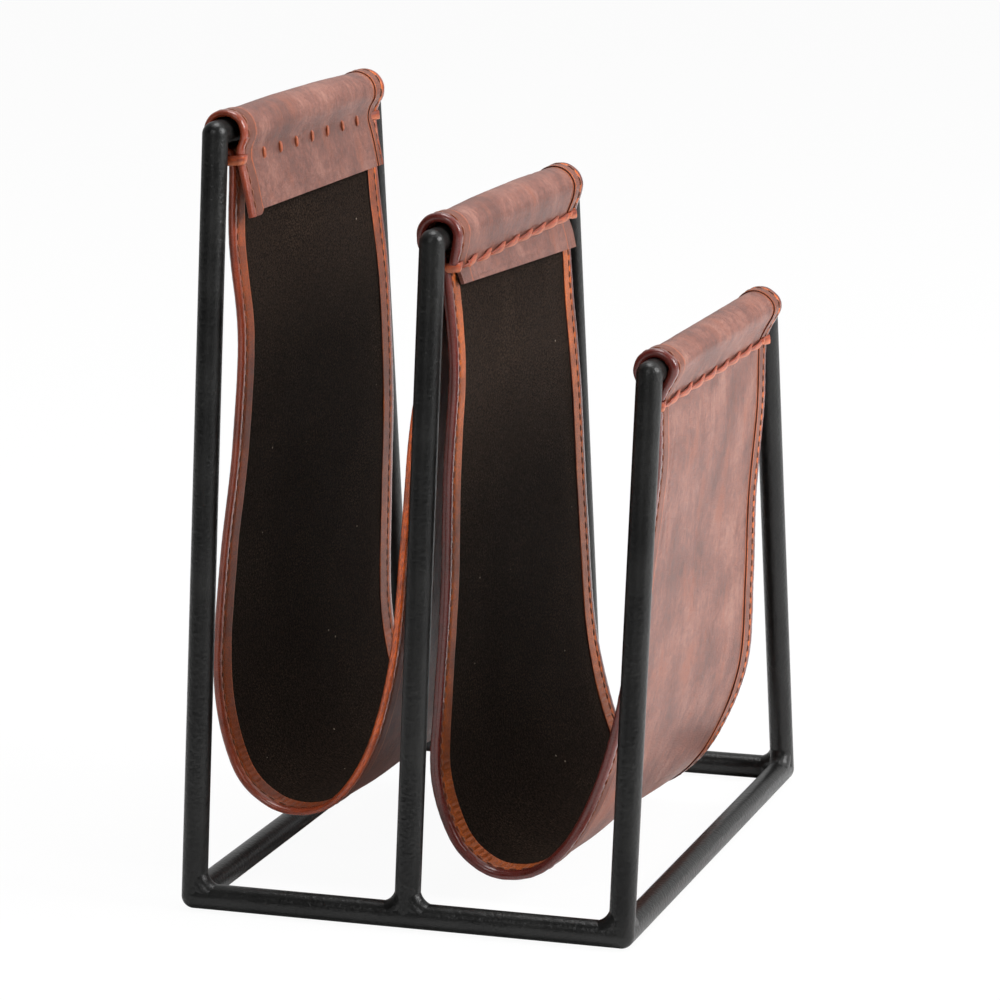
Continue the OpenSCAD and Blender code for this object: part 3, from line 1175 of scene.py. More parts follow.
@dataclass(frozen=True)
class Crease:
    """A fine fold in the leather, straight from one place on the strip to another."""

    start: tuple[float, float]
    end: tuple[float, float]
    depth: float
    width: float = 0.8

    def at(self, along: Array, inset: Array) -> Array:
        """Depth of the fold: a narrow valley with a low ridge on each side, fading at its ends.

        Args:
            along: Distances along.
            inset: Distances in.

        Returns:
            Heights.
        """
        start, end = np.array(self.start), np.array(self.end)
        way = end - start
        size = float(np.hypot(*way))
        x, y = along - start[0], inset - start[1]
        share = (x * way[0] + y * way[1]) / size**2
        bow = 0.035 * size * np.sin(math.pi * share * 1.7)
        side = (x * way[1] - y * way[0]) / size + bow
        fade = ramp(share, 0.0, 0.2) * ramp(share, 1.0, 0.7)
        return self.depth * fade * (0.45 * bump(side, 3 * self.width) - bump(side, self.width))


class Pocket:
    """One leather pocket: outer leather, lining, two edge bindings and their stitching."""

    LEATHER_STEP = 1.4
    BINDING_STEP = 0.75

    PUCKER_PITCH = 2.5

    def __init__(self, name: str, shape: PocketShape, seams: Seams, seed: int,
                 bound_from: float = 0.0) -> None:
        """Keeps what the layers are built on.

        Args:
            name: The pocket's name, which starts its node names.
            shape: Its surface.
            seams: Where its lacings are.
            seed: Seed of its wrinkles.
            bound_from: Distance along at which the edge bindings start.
        """
        self.name, self.shape, self.seams = name, shape, seams
        self.seed, self.bound_from = seed, bound_from
        self.creases: list[Crease] = []
        self.layers = shape.layers

    def _along(self, step: float, start: float = 0.0) -> Array:
        """Evenly spaced distances along, from end to end.

        Args:
            step: Their spacing.
            start: The first.

        Returns:
            The distances.
        """
        end = self.shape.length - self.shape.STEP
        return np.linspace(start, end, int((end - start) / step))

    def _bottom(self, along: Array) -> Array:
        """How strongly the strip bends at a distance along: 1 in the bottom of the pocket.

        Args:
            along: Distances along.

        Returns:
            Shares between 0 and 1.
        """
        height = np.interp(along, self.shape.s, self.shape.front[:, 1])
        low = float(self.shape.front[:, 1].min())
        return ramp(height, low + 60.0, low + 12.0)

    def _slab(self, piece: Piece, along: Array, inset: Array, outer: Array, inner: Array) -> None:
        """Adds a layer between two faces.

        Args:
            piece: The piece it is added to.
            along: Distances along, one a ring.
            inset: Distances in, one a point of a row.
            outer: Lifts of the outer face, as (ring, place).
            inner: Lifts of the inner face.
        """
        u = np.broadcast_to(along[:, None], outer.shape)
        v = np.broadcast_to(inset, outer.shape)
        rows = [self.shape.place(u, v, outer), self.shape.place(u, v, inner)[:, ::-1]]
        tags = [np.stack([u, v, np.ones_like(u)], -1),
                np.stack([u, v, np.zeros_like(u)], -1)[:, ::-1]]
        piece.loft(np.concatenate(rows, 1), np.concatenate(tags, 1))

    def leather(self, finish: bpy.types.Material) -> bpy.types.Object:
        """Builds the outer leather, with its streaks and the creases of its bends.

        Args:
            finish: Its material.

        Returns:
            The piece.
        """
        along = self._along(self.LEATHER_STEP)
        fold = self.layers.binding + self.layers.sew_gap
        inset = np.linspace(fold, self.layers.width - fold, 116)
        u, v = along[:, None], inset[None, :]
        streaks = Ripple(self.seed, 46.0, 2.7).at(u, v) * 0.018
        pull = Ripple(self.seed + 1, 18.0, 5.5).at(u, v) * 0.05
        bend = self._bottom(along)[:, None] * Ripple(self.seed + 2, 3.4, 28.0).at(u, v) * 0.05
        rear = ramp(v, self.layers.width - 60, self.layers.width - 14)
        rear_lines = rear * Ripple(self.seed + 3, 70.0, 2.3).at(u, v) * 0.10
        folds = sum((crease.at(u, v) for crease in self.creases), np.zeros_like(streaks))
        outer = self.layers.outer_face + streaks + pull + bend + rear_lines + folds
        inner = np.full_like(outer, self.layers.sew_gap)
        piece = Piece(f"{self.name}_leather_sheet")
        self._slab(piece, along, inset, outer, inner)
        return piece.build(finish, Slot.LEATHER, [f"{self.name}_leather"])

    def lining(self, finish: bpy.types.Material) -> bpy.types.Object:
        """Builds the suede lining, slightly slack between the bindings.

        Args:
            finish: Its material.

        Returns:
            The piece.
        """
        along = self._along(self.LEATHER_STEP * 1.2)
        fold = self.layers.binding + self.layers.sew_gap
        inset = np.linspace(fold, self.layers.width - fold, 80)
        u, v = along[:, None], inset[None, :]
        slack = Ripple(self.seed + 4, 22.0, 16.0).at(u, v) * 0.14
        slack = slack + Ripple(self.seed + 5, 4.0, 4.0).at(u, v) * 0.05
        inner = -self.layers.inner_face + slack
        outer = np.full_like(inner, -self.layers.sew_gap)
        piece = Piece(f"{self.name}_suede")
        self._slab(piece, along, inset, outer, inner)
        return piece.build(finish, Slot.LINING, [f"{self.name}_lining"])

    def _section(self) -> tuple[Array, Array]:
        """Cross-section of a binding, from the outer cut edge round the fold to the inner one.

        Returns:
            Two tables of (distance from the edge, lift): the outside and the inside.
        """
        lay = self.layers
        rows = np.array([0.0, 0.25, 1.0, 2.0, 3.2, 4.4, 5.4, 6.0, 6.5, 6.9, 7.15, 7.4, 7.65,
                         8.0, 8.4, 8.9, 9.5])
        flat = lay.binding_width - rows
        flat = flat[flat > (lay.outer_hem + lay.inner_hem) / 2 + 0.1]
        rim = np.concatenate([[0.18], np.zeros(len(flat) - 1)])
        radius = (lay.outer_hem + lay.inner_hem) / 2
        middle = (lay.outer_hem - lay.inner_hem) / 2
        angle = np.radians(np.linspace(90, 270, 15))
        roll = np.stack([radius + radius * np.cos(angle), middle + radius * np.sin(angle)], 1)
        top = np.stack([flat, lay.outer_hem - rim], 1)
        base = np.stack([flat[::-1], -lay.inner_hem + rim[::-1]], 1)
        outside = np.vstack([top, roll, base])
        slot_top, slot_base = lay.outer_face + lay.sew_gap / 2, -lay.inner_face - lay.sew_gap / 2
        fold_in = np.full(15, lay.binding + lay.sew_gap / 2)
        fold = np.stack([fold_in, np.linspace(slot_top, slot_base, 15)], 1)
        inside = np.vstack([
            np.stack([flat, np.full(len(flat), slot_top)], 1), fold,
            np.stack([flat[::-1], np.full(len(flat), slot_base)], 1),
        ])
        return outside, inside

    def binding(self, side: Side, finish: bpy.types.Material) -> bpy.types.Object:
        """Builds a binding: a strip folded round the edge, drawn down by its stitches.

        The rolled edge stands proud of a groove that the stitches pull into the strip, and in
        the bottom of the pocket the inner face gathers in short folds.

        Args:
            side: The edge.
            finish: Its material.

        Returns:
            The piece.
        """
        lay = self.layers
        outside, inside = self._section()
        along = self._along(self.BINDING_STEP, self.bound_from)
        u = along[:, None]
        edge, lift = outside[None, :, 0], outside[None, :, 1]
        facing = np.sign(lift - (lay.outer_hem - lay.inner_hem) / 2)
        seam = bump(edge - lay.stitch_in, 0.62)
        phase = (u / lay.stitch_pitch) % 1.0 - 0.5
        holes = (bump((np.abs(phase) - 0.40) * lay.stitch_pitch, 0.45)
                 * bump(edge - lay.stitch_in, 0.5))
        swell = bump(edge - 2.2, 1.1) * (0.10 + 0.05 * np.cos(2 * math.pi * phase))
        wander = 0.6 * Ripple(self.seed + 7, 9.0, 9.0).at(u, edge)
        folds = np.abs(np.sin(math.pi * (u + wander) / self.PUCKER_PITCH)) - 0.6
        folds = folds * ramp(edge, 4.9, 7.0) * ramp(edge, 12.0, 10.5)
        gathers = folds * self._bottom(along)[:, None] * (facing < 0) * 0.75
        uneven = Ripple(self.seed + 8, 7.0, 3.0).at(u, edge) * 0.07
        depth = swell + uneven + gathers - 0.42 * seam - 0.30 * holes
        outer = lift + facing * depth
        wander = Ripple(self.seed + 9, 14.0, 30.0).at(u, edge) * 0.25 * ramp(edge, 8.0, 11.0)
        reach = edge + wander
        rings_edge = np.concatenate([np.broadcast_to(reach, outer.shape),
                                     np.broadcast_to(inside[None, ::-1, 0], outer.shape)], 1)
        rings_lift = np.concatenate([outer, np.broadcast_to(inside[None, ::-1, 1], outer.shape)], 1)
        inset = rings_edge if side is Side.FRONT else lay.width - rings_edge
        uu = np.broadcast_to(u, inset.shape)
        piece = Piece(f"{self.name}_{side.value}_edge_binding")
        piece.loft(self.shape.place(uu, inset, rings_lift), np.stack([uu, inset, rings_lift], -1))
        return piece.build(finish, Slot.BINDING, [f"{self.name}_{side.value}_binding"], crease=55.0)

    def stitching(self, side: Side, finish: bpy.types.Material) -> bpy.types.Object:
        """Builds the edge stitching: one short arched stitch to each pitch, on both faces.

        Args:
            side: The edge.
            finish: Its material.

        Returns:
            The piece.
        """
        lay = self.layers
        rng = np.random.default_rng(self.seed + 20)
        first, last = lay.stitch_pitch + self.bound_from, self.shape.length - lay.stitch_pitch
        centres = np.arange(first, last, lay.stitch_pitch)
        centres = np.round(centres / lay.stitch_pitch) * lay.stitch_pitch
        t = np.linspace(-1, 1, 7)
        around = 8
        angle = (np.arange(around) + 0.5) * 2 * math.pi / around
        radius = 0.36
        piece = Piece(f"{self.name}_{side.value}_edge_stitches")
        for face, level in ((1.0, lay.outer_hem), (-1.0, -lay.inner_hem)):
            lean = rng.normal(0.0, 0.10, (len(centres), 1, 1))
            u = centres[:, None, None] + t[None, :, None] * 1.62
            rise = 0.16 - 0.62 * t[None, :, None] ** 4
            girth = radius * (1 - 0.35 * t[None, :, None] ** 4)
            edge = lay.stitch_in + lean * t[None, :, None] + girth * np.cos(angle)
            lift = level + face * (-0.22 + rise + girth * np.sin(angle))
            inset = edge if side is Side.FRONT else lay.width - edge
            u = np.broadcast_to(u, inset.shape)
            points = self.shape.place(u, inset, lift)
            turn = np.broadcast_to(np.arange(around) / around, inset.shape)
            marks = np.stack([u, inset, turn], -1)
            for ring, mark in zip(points, marks):
                piece.loft(ring, mark)
        nodes = [f"{self.name}_{side.value}_stitching"]
        return piece.build(finish, Slot.THREAD, nodes, crease=60.0)


# ---------------------------------------------------------------------------
# Lacings
# ---------------------------------------------------------------------------


def lace_holes(layers: Layers) -> Array:
    """Spaces a rail's lace holes evenly, the end ones inside the bindings.

    Args:
        layers: The strip's layers.

    Returns:
        Distances in from the leather's front edge.
    """
    return np.linspace(Lacing.HOLE_IN, layers.width - Lacing.HOLE_IN, Lacing.HOLES)


@dataclass(frozen=True)
class LaceFace:
    """A face that a lacing shows on: a pocket's surface, where the lacing crosses it, and the
    lift of the face there (negative on the lining's side)."""

    shape: PocketShape
    along: float
    lift: float
    upward: float

    def at(self, inset: Array, rise: Array, proud: Array) -> Array:
        """Points on or over the face.

        Args:
            inset: Distances in from the front edge.
            rise: Distances up from the lacing's line.
            proud: Heights over the face.

        Returns:
            Points in millimetres.
        """
        sign = math.copysign(1.0, self.lift)
        layers = self.shape.layers
        given = (np.asarray(v, float) for v in (inset, rise, proud))
        inset, rise, proud = np.broadcast_arrays(*given)
        from_edge = np.minimum(inset, layers.width - inset)
        on_hem = ramp(from_edge, layers.binding_width + 0.5, layers.binding_width - 0.3)
        hem = on_hem * (layers.binding + 0.15)
        lift = self.lift + sign * (proud + hem)
        return self.shape.place(self.along + self.upward * rise, inset, lift)


class Lacing:
    """The lace of one rail: long slanting stitches on the show face, short upright ones on the
    back face, and a turn round each edge of the leather."""

    HOLES = 9
    HOLE_IN = 8.0
    WIDTH = 3.9
    THICK = 1.1

    def __init__(self, name: str, holes: Array, show: LaceFace, back: LaceFace, seed: int,
                 slant: float) -> None:
        """Keeps the faces that the lace lies on.

        Args:
            name: The rail's name, which starts the node's name.
            holes: Distances in of its holes.
            show: The face with the long stitches.
            back: The face with the short ones.
            seed: Seed of the lace's unevenness.
            slant: Rise of a long stitch from its start to its end.
        """
        self.name, self.show, self.back, self.slant = name, show, back, slant
        self.rng = np.random.default_rng(seed)
        self.holes = holes
        self.piece = Piece(f"{name}_lace")

    def _strap(self, path: Array, side: Array, width: Array, thick: Array) -> None:
        """Adds a stretch of lace.

        Args:
            path: Its centre line.
            side: Direction of its width at each point.
            width: Its width at each point.
            thick: Its thickness at each point.
        """
        around = 12
        rings = sweep(path, side, width, thick, around)
        gone = np.concatenate([[0], np.cumsum(np.linalg.norm(np.diff(path, axis=0), axis=1))])
        angle = (np.arange(around) + 0.5) * 2 * math.pi / around
        u = np.broadcast_to(gone[:, None] + self.rng.uniform(0, 90), rings.shape[:2])
        across = np.broadcast_to(np.cos(angle), u.shape)
        turn = np.broadcast_to(np.sin(angle), u.shape)
        self.piece.loft(rings, np.stack([u, across, turn], -1))

    def _long(self, start: float, end: float) -> None:
        """Adds a long stitch that leaves one hole below the line and enters the next above it.

        Args:
            start: Distance in of its first hole.
            end: Distance in of its last hole.
        """
        t = np.linspace(0, 1, 21)
        hump = np.sin(math.pi * t)
        inset = start - 2.6 + (end - start + 5.2) * t
        rise = self.slant * (t - 0.5) * 2 + self.rng.normal(0, 0.12)
        proud = -0.8 + 1.5 * hump**0.6 + 0.5 * t
        path = self.show.at(inset, rise, proud)
        ahead = self.show.at(inset, rise + 0.5, proud + 0.5 * (0.7 - 1.5 * t))
        width = self.WIDTH * (0.12 + 0.62 * hump**0.8)
        thick = self.THICK * (0.7 + 0.2 * hump)
        self._strap(path, ahead - path, width, thick)

    def _short(self, hole: float) -> None:
        """Adds a short upright stitch on the back face.

        Args:
            hole: Distance in of its hole.
        """
        t = np.linspace(-1, 1, 13)
        lean = self.rng.normal(0, 0.35)
        path = self.back.at(hole + lean * t, 2.3 * t, 0.75 - 2.2 * t**4)
        beside = self.back.at(hole + lean * t + 0.5, 2.3 * t, 0.75 - 2.2 * t**4)
        width = 2.1 * (1 - 0.45 * t**2)
        self._strap(path, beside - path, width, np.full(13, 1.2))

    def _turn(self, edge: Side) -> None:
        """Adds the turn round one edge of the leather, from the back face to the show face.

        Args:
            edge: The edge.
        """
        width = self.show.shape.layers.width
        front = edge is Side.FRONT
        hole = self.holes[0] if front else self.holes[-1]
        rim = -0.75 if front else width + 0.75
        t = np.linspace(0, 1, 9)
        inset = hole + (rim - hole) * t
        low = 0.55 - 1.4 * (1 - t) ** 3
        first = self.show.at(inset[:-1], np.zeros(8), low[:-1])
        last = self.back.at(inset[:-1], np.zeros(8), low[:-1])[::-1]
        a, b = self.show.at(rim, 0.0, -0.35), self.back.at(rim, 0.0, -0.35)
        across = a[None] + (b - a)[None] * np.linspace(0, 1, 7)[:, None]
        path = through(np.vstack([first, across, last]), 3)
        path = softened(path, 1.6)
        lean = 0.14 if front else -0.10
        side = np.tile(np.array([lean, 0.0, 1.0]), (len(path), 1))
        s = np.linspace(-1, 1, len(path))
        self._strap(path, side, self.WIDTH * (1 - 0.35 * s**8), np.full(len(path), 1.0))

    def build(self, finish: bpy.types.Material) -> bpy.types.Object:
        """Builds the lacing.

        Args:
            finish: Its material.

        Returns:
            The piece.
        """
        for start, end in zip(self.holes[:-1], self.holes[1:]):
            self._long(start, end)
        for hole in self.holes[1:-1]:
            self._short(hole)
        self._turn(Side.FRONT)
        self._turn(Side.REAR)
        return self.piece.build(finish, Slot.LACE, [f"{self.name}_lacing"], crease=70.0)


# ---------------------------------------------------------------------------
# The rack
# ---------------------------------------------------------------------------


@dataclass
class Finishes:
    """Every material of the rack."""

    leather: bpy.types.Material
    tall_binding: bpy.types.Material
    short_binding: bpy.types.Material
    suede: bpy.types.Material
    lace: bpy.types.Material
    thread: bpy.types.Material
    steel: bpy.types.Material


class Rack:
    """The two pockets, their lacings and the dressed bars."""

    TALL_BOTTOM = 27.0
    SHORT_BOTTOM = 9.0
    CURL = 13.0
    CURL_LIFT = 1.6
    CURL_IN = 6.5

    def __init__(self, finishes: Finishes) -> None:
        """Measures the rails and draws the pockets' surfaces.

        Args:
            finishes: The materials.
        """
        self.finishes = finishes
        self.layers = Layers()
        self.tall, self.middle, self.short = (
            Rail.of(f"{name}_top_rail") for name in ("tall", "middle", "short")
        )
        self.tall_drape = Drape(
            self.layers, self.tall, self.middle, self.TALL_BOTTOM,
            left_flap=22.0, left_drop=10.5, right_drop=10.5,
        )
        self.short_drape = Drape(
            self.layers, self.middle, self.short, self.SHORT_BOTTOM,
            left_flap=14.0, left_drop=10.5, right_drop=13.0,
        )
        self.tall_pocket = self._tall_pocket()
        self.short_pocket = self._short_pocket()

    def _tall_pocket(self) -> Pocket:
        """Draws the tall pocket.

        Returns:
            The pocket.
        """
        d = self.tall_drape
        front, rear = (
            np.vstack([d.over_left(at_tall), d.hang(line), d.under_right(at_middle)])
            for line, at_tall, at_middle in ((TALL_FRONT, 0.5, 2.0), (TALL_REAR, 2.0, 3.4))
        )
        shape = PocketShape(self.layers, front, rear)
        flap = shape.crossing(d.left.z - d.left_drop, 0, d.left_flap + 8)
        wall = shape.crossing(d.left.z - d.left_drop, flap + 30, flap + 90)
        end = shape.crossing(d.right.z - d.right_drop, shape.length - 12, shape.length)
        seams = Seams(flap, wall, end, None)
        shape.thickness = 0.74
        start = shape.crossing(d.left.z, flap, flap + 16)
        shape.warps.append(self._eased(start, 1.5, 0.2, -0.7))
        self._relax(shape, seams, flap + 21, 0.7)
        curl = self.CURL

        def bent(u: Array, v: Array) -> Array:
            """How far a place is into the bent rear corner of the flap, 0 to 1.

            Args:
                u: Distances along.
                v: Distances in from the front edge.

            Returns:
                Its amount at each place.
            """
            across = ramp(v, self.layers.width - curl, self.layers.width) ** 1.4
            return across * ramp(u, flap + 9, flap - 12)

        def drawn_in(u: Array, v: Array) -> tuple[Array, Array]:
            """Draws the bent corner in, and squares the end of the flap.

            Args:
                u: Distances along.
                v: Distances in from the front edge.

            Returns:
                The two distances, shifted.
            """
            return u + 1.8 * ramp(v, 9, 13) * ramp(u, 8, 0), v - self.CURL_IN * bent(u, v)

        shape.warps.append(lambda u, v: self.CURL_LIFT * bent(u, v))
        shape.slides.append(drawn_in)
        return Pocket("tall_pocket", shape, seams, 11, 0.0)

    def _short_pocket(self) -> Pocket:
        """Draws the short pocket.

        Returns:
            The pocket.
        """
        d = self.short_drape
        front, rear = (
            np.vstack([d.over_left(at_middle), d.hang(line), d.over_right(at_short)])
            for line, at_middle, at_short in ((SHORT_FRONT, 2.0, 2.4), (SHORT_REAR, 3.4, 2.4))
        )
        shape = PocketShape(self.layers, front, rear)
        flap = shape.crossing(d.left.z - d.left_drop, 0, d.left_flap + 8)
        wall = shape.crossing(d.left.z - d.left_drop, flap + 30, flap + 90)
        near_end = shape.length - d.right_flap - 8
        last = shape.crossing(d.right.z - d.right_drop, near_end, shape.length)
        right = shape.crossing(d.right.z - d.right_drop, last - 90, last - 30)
        seams = Seams(flap, wall, right, last)
        start = shape.crossing(d.left.z, flap, flap + 16)
        shape.warps.append(self._eased(start, 0.2, 1.5, 0.0))
        start = shape.crossing(d.right.z, right, right + 18)
        shape.warps.append(self._eased(start, 0.0, -0.3, -0.3))
        width = self.layers.width

        def tucked(u: Array, v: Array) -> tuple[Array, Array]:
            """Narrows the flap below the lacing and trims its end.

            Args:
                u: Distances along.
                v: Distances in from the front edge.

            Returns:
                The two distances, shifted.
            """
            inside = 0.085 * ramp(u, flap + 1.5, flap - 2.5)
            late = (7.0 - 6.4 * v / width) * ramp(u, 9, 0)
            return u + late, width / 2 + (v - width / 2) * (1 - inside)

        shape.slides.append(tucked)
        self._relax(shape, seams, flap + 21, 0.8)
        pocket = Pocket("short_pocket", shape, seams, 41, flap - 1.0)
        pocket.creases = self._wall_creases(right)
        return pocket

    def _eased(self, start: float, right: float, top: float,
               left: float) -> Callable[[Array, Array], Array]:
        """Makes a warp that shifts a wrap's three sides off its circle.

        Args:
            start: Distance along at which the wrap starts, level with its rail.
            right: Shift outward on the +X side.
            top: Shift outward on top.
            left: Shift outward on the -X side.

        Returns:
            The warp.
        """
        radius, turn = self.layers.wrap_radius, math.radians(self.tall_drape.wrap_turn)

        def shift(u: Array, v: Array) -> Array:
            """Shifts the wrap outward by its three sides.

            Args:
                u: Distances along.
                v: Distances in from the front edge.

            Returns:
                Its amount at each place.
            """
            angle = (u - start) / radius
            side = np.cos(angle)
            over = np.clip(np.sin(angle), 0, 1)
            window = ramp(angle, -1.1, -0.2) * ramp(angle, turn, turn - 0.9)
            return window * (right * np.clip(side, 0, 1) + left * np.clip(-side, 0, 1) + top * over)

        return shift

    def _relax(self, shape: PocketShape, seams: Seams, crown: float, loose: float) -> None:
        """Adds what the leather does for itself: it stands off the rail between its edges, waves
        a little down the walls, and is drawn in where the lace passes through.

        Args:
            shape: The surface.
            seams: Its lacings.
            crown: Distance along of the left wrap's top.
            loose: How far the left wrap stands off the rail at mid-length.
        """
        width = self.layers.width

        def crown_lift(u: Array, v: Array) -> Array:
            """Lifts the sheet where it bows.

            Args:
                u: Distances along.
                v: Distances in from the front edge.

            Returns:
                Its amount at each place.
            """
            middle = ramp(v, 10, 60) * ramp(v, width - 10, width - 60)
            return loose * middle * bump(u - crown, 11.0)

        def waves(u: Array, v: Array) -> Array:
            """Adds the slack waves of a hanging sheet.

            Args:
                u: Distances along.
                v: Distances in from the front edge.

            Returns:
                Its amount at each place.
            """
            hanging = ramp(u, seams.left_wall + 8, seams.left_wall + 40)
            hanging = hanging * ramp(u, seams.right_wall - 8, seams.right_wall - 40)
            return Ripple(91, 60.0, 48.0).at(u, v) * 0.9 * hanging

        def drawn(u: Array, v: Array) -> Array:
            """Draws the sheet in at every lace hole.

            Args:
                u: Distances along.
                v: Distances in from the front edge.

            Returns:
                Its amount at each place.
            """
            pull = np.zeros_like(u)
            nearest = np.min(np.abs(np.asarray(v)[..., None] - lace_holes(self.layers)), axis=-1)
            for place in (seams.left_flap, seams.left_wall, seams.right_wall, seams.right_flap):
                if place is not None:
                    pull = pull + bump(np.hypot(u - place, nearest * 0.7), 2.6)
            return -0.75 * pull

        shape.warps += [crown_lift, waves, drawn]

    def _wall_creases(self, top: float) -> list[Crease]:
        """Folds of the short wall: long ones from the first lace holes down, a broken one across
        the middle, and a fan near the bottom of its rear edge.

        Args:
            top: Distance along of the wall's lacing.

        Returns:
            The folds.
        """
        rng = np.random.default_rng(77)
        folds = [
            Crease((top - 4, 16), (top - 74, 24), 0.30, 0.9),
            Crease((top - 6, 25), (top - 96, 12), 0.22, 0.9),
            Crease((top - 3, 44), (top - 40, 47), 0.20, 1.2),
            Crease((top - 3, 98), (top - 34, 101), 0.18, 1.2),
        ]
        for _ in range(14):
            u, v = top - 95 - rng.uniform(-22, 26), rng.uniform(60, 132)
            length, lean = rng.uniform(7, 16), rng.uniform(0.3, 1.2)
            end = (u - length, v + length * lean)
            folds.append(Crease((u, v), end, rng.uniform(0.12, 0.26), 0.7))
        for k in range(9):
            u, v = top - 168 - 4.0 * k, 132 - 7.5 * k + rng.uniform(-2, 2)
            end = (u - rng.uniform(26, 44), v - rng.uniform(16, 28))
            folds.append(Crease((u, v), end, rng.uniform(0.14, 0.26), 0.8))
        return folds

    def pocket_pieces(self, pocket: Pocket) -> list[bpy.types.Object]:
        """Builds one pocket's pieces.

        Args:
            pocket: The pocket.

        Returns:
            Its leather first, then the pieces sewn to it.
        """
        f = self.finishes
        bound = f.tall_binding if pocket is self.tall_pocket else f.short_binding
        made = [pocket.leather(f.leather), pocket.lining(f.suede)]
        for side in Side:
            made.append(pocket.binding(side, bound))
            made.append(pocket.stitching(side, f.thread))
        return made

    def lacings(self) -> list[bpy.types.Object]:
        """Builds the three lacings.

        Returns:
            The pieces.
        """
        lay = self.layers
        tall, short = self.tall_pocket, self.short_pocket
        a, b = tall.seams, short.seams
        out, under = lay.outer_face, -lay.inner_face
        faces = {
            "tall": (LaceFace(tall.shape, a.left_wall, out, -1),
                     LaceFace(tall.shape, a.left_flap, out, 1), 1.2),
            "middle": (LaceFace(short.shape, b.left_flap, out, 1),
                       LaceFace(tall.shape, a.right_wall, under, 1), 1.4),
            "short": (LaceFace(short.shape, b.right_wall, out, 1),
                      LaceFace(short.shape, b.right_flap, out, -1), 1.4),
        }
        return [
            Lacing(name, lace_holes(lay), show, back, seed, slant).build(self.finishes.lace)
            for seed, (name, (show, back, slant)) in enumerate(faces.items(), 5)
        ]

    def dress_bars(self) -> None:
        """Gives every bar and weld the coated finish."""
        for name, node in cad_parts.items():
            if name.endswith(("_rail", "_post", "_welds")):
                node.data.materials.clear()
                node.data.materials.append(self.finishes.steel)

    def declare(self, pocket: Pocket, pieces: list[bpy.types.Object]) -> None:
        """Works out a pocket's leather's size before it was hung, and does nothing with it.

        Args:
            pocket: The pocket.
            pieces: Its pieces, leather first.
        """
        flat = (self.layers.width * MM, pocket.shape.length * MM)
        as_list(pieces[2:])

    def build(self) -> None:
        """Builds everything."""
        self.dress_bars()
        tall = self.pocket_pieces(self.tall_pocket)
        short = self.pocket_pieces(self.short_pocket)
        self.declare(self.tall_pocket, tall)
        self.declare(self.short_pocket, short)
        self.lacings()


# ---------------------------------------------------------------------------
# Studio
# ---------------------------------------------------------------------------


@dataclass(frozen=True)
class Softbox:
    """A square area light that looks at the rack."""

    name: str
    place: Colour
    size: float
    power: float

    def build(self, target: Vector) -> None:
        """Makes the light.

        Args:
            target: The point it looks at.
        """
        light = bpy.data.lights.new(self.name, "AREA")
        light.shape, light.size, light.energy = "SQUARE", self.size, self.power
        lamp = bpy.data.objects.new(self.name, light)
        lamp.location = self.place
        lamp.rotation_euler = (target - Vector(self.place)).to_track_quat("-Z", "Y").to_euler()
        bpy.context.scene.collection.objects.link(lamp)


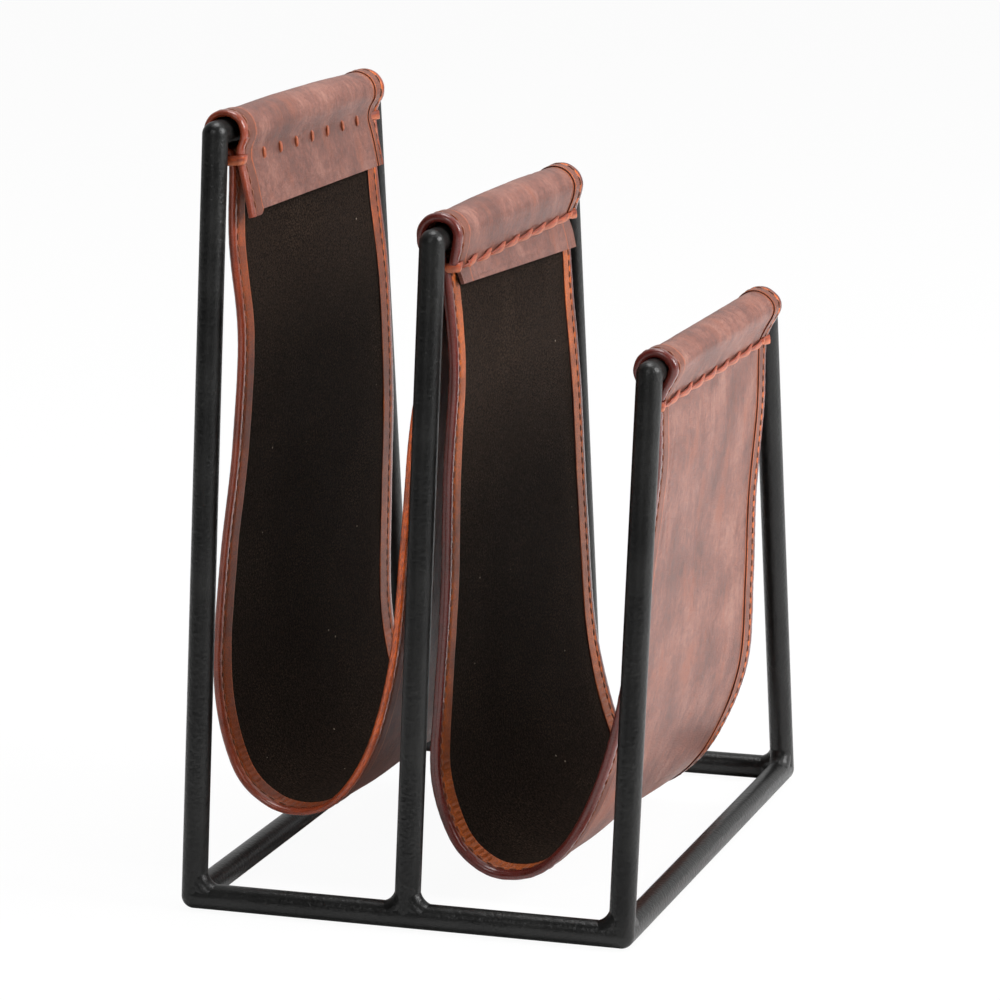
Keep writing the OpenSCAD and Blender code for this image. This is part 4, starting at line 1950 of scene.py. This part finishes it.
@dataclass(frozen=True)
class Studio:
    """Camera, floor and light."""

    lens: float = 150.88
    eye: Colour = (509.3, -1563.5, 486.3)
    aim: Colour = (23.6, -74.8, 158.2)
    roll: float = 0.274
    room: float = 0.75

    def camera(self) -> None:
        """Makes the camera and looks through it."""
        data = bpy.data.cameras.new("view")
        data.lens, data.sensor_width, data.clip_end = self.lens, 36.0, 120.0
        eye, aim = (Vector(p) * MM for p in (self.eye, self.aim))
        camera = bpy.data.objects.new("view", data)
        camera.location = eye
        turn = (aim - eye).to_track_quat("-Z", "Y")
        camera.rotation_mode = "QUATERNION"
        roll = Vector((0, 0, 1))
        camera.rotation_quaternion = turn @ Quaternion(roll, math.radians(-self.roll))
        bpy.context.scene.collection.objects.link(camera)
        bpy.context.scene.camera = camera

    def floor(self) -> None:
        """Makes the pale floor."""
        g = Graph("pale_floor")
        grain = g.noise(g.place(), 60.0, 3.0)
        tint = g.blend(grain, (0.90, 0.90, 0.90), (0.94, 0.94, 0.94))
        seen = g.node("ShaderNodeLightPath", {}, {}, "Is Camera Ray") * 0.95
        matt = g.node("ShaderNodeBsdfDiffuse", {}, {"Color": tint})
        glow = g.node("ShaderNodeEmission", {}, {"Color": (1.0, 1.0, 1.0), "Strength": 1.0})
        g.close(g.node("ShaderNodeMixShader", {}, {0: seen, 1: matt, 2: glow}))
        mesh = bpy.data.meshes.new("floor")
        r = 40.0
        mesh.from_pydata([(-r, -r, 0), (r, -r, 0), (r, r, 0), (-r, r, 0)], [], [(0, 1, 2, 3)])
        mesh.materials.append(g.material)
        floor = bpy.data.objects.new("floor", mesh)
        bpy.context.scene.collection.objects.link(floor)
        floor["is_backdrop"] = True

    def light(self) -> None:
        """Lights the room softly, brighter behind and above than in front."""
        world = bpy.data.worlds.new("room")
        world.use_nodes = True
        tree = world.node_tree
        tree.nodes.clear()
        make, link = tree.nodes.new, tree.links.new
        where, split = make("ShaderNodeTexCoord"), make("ShaderNodeSeparateXYZ")
        link(where.outputs["Generated"], split.inputs[0])
        depth = make("ShaderNodeMapRange")
        link(split.outputs["Y"], depth.inputs["Value"])
        for name, value in (("From Min", -0.5), ("From Max", 0.9),
                            ("To Min", 0.02), ("To Max", 0.75)):
            depth.inputs[name].default_value = value
        ray = make("ShaderNodeLightPath")
        seen = make("ShaderNodeMath")
        seen.operation = "MAXIMUM"
        link(depth.outputs[0], seen.inputs[0])
        link(ray.outputs["Is Camera Ray"], seen.inputs[1])
        sky, end = make("ShaderNodeBackground"), make("ShaderNodeOutputWorld")
        sky.inputs["Color"].default_value = (1.0, 1.0, 1.0, 1.0)
        link(seen.outputs[0], sky.inputs["Strength"])
        link(sky.outputs[0], end.inputs["Surface"])
        bpy.context.scene.world = world
        target = Vector((0.0, 0.0, 0.16))
        Softbox("right_softbox", (2.0, 0.2, 1.3), 1.1, 60.0).build(target)
        Softbox("top_softbox", (0.1, 0.3, 2.2), 1.0, 30.0).build(target)
        Softbox("front_softbox", (0.1, -2.2, 1.5), 0.5, 13.0).build(target)

    def build(self) -> None:
        """Sets up the studio."""
        bpy.context.scene.view_settings.view_transform = "Standard"
        self.camera()
        self.floor()
        self.light()


def main() -> None:
    """Builds the rack's looks and the studio, and logs the rack's box."""
    logging.basicConfig(level=logging.INFO, format="%(message)s")
    finishes = Finishes(
        WaxedLeather().material(), BindingLeather().material(), DarkBindingLeather().material(),
        Suede().material(),
        LaceLeather().material(), WaxedThread().material(), CoatedSteel().material(),
    )
    Studio().build()
    log.info("studio built")
    Rack(finishes).build()
    boxes = {"cad": [list(p) for p in CAD_BOX], "visual": [list(p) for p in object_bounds()]}
    log.info("rack built, its box runs %s to %s", *boxes["visual"])


if __name__ == "__main__":
    main()
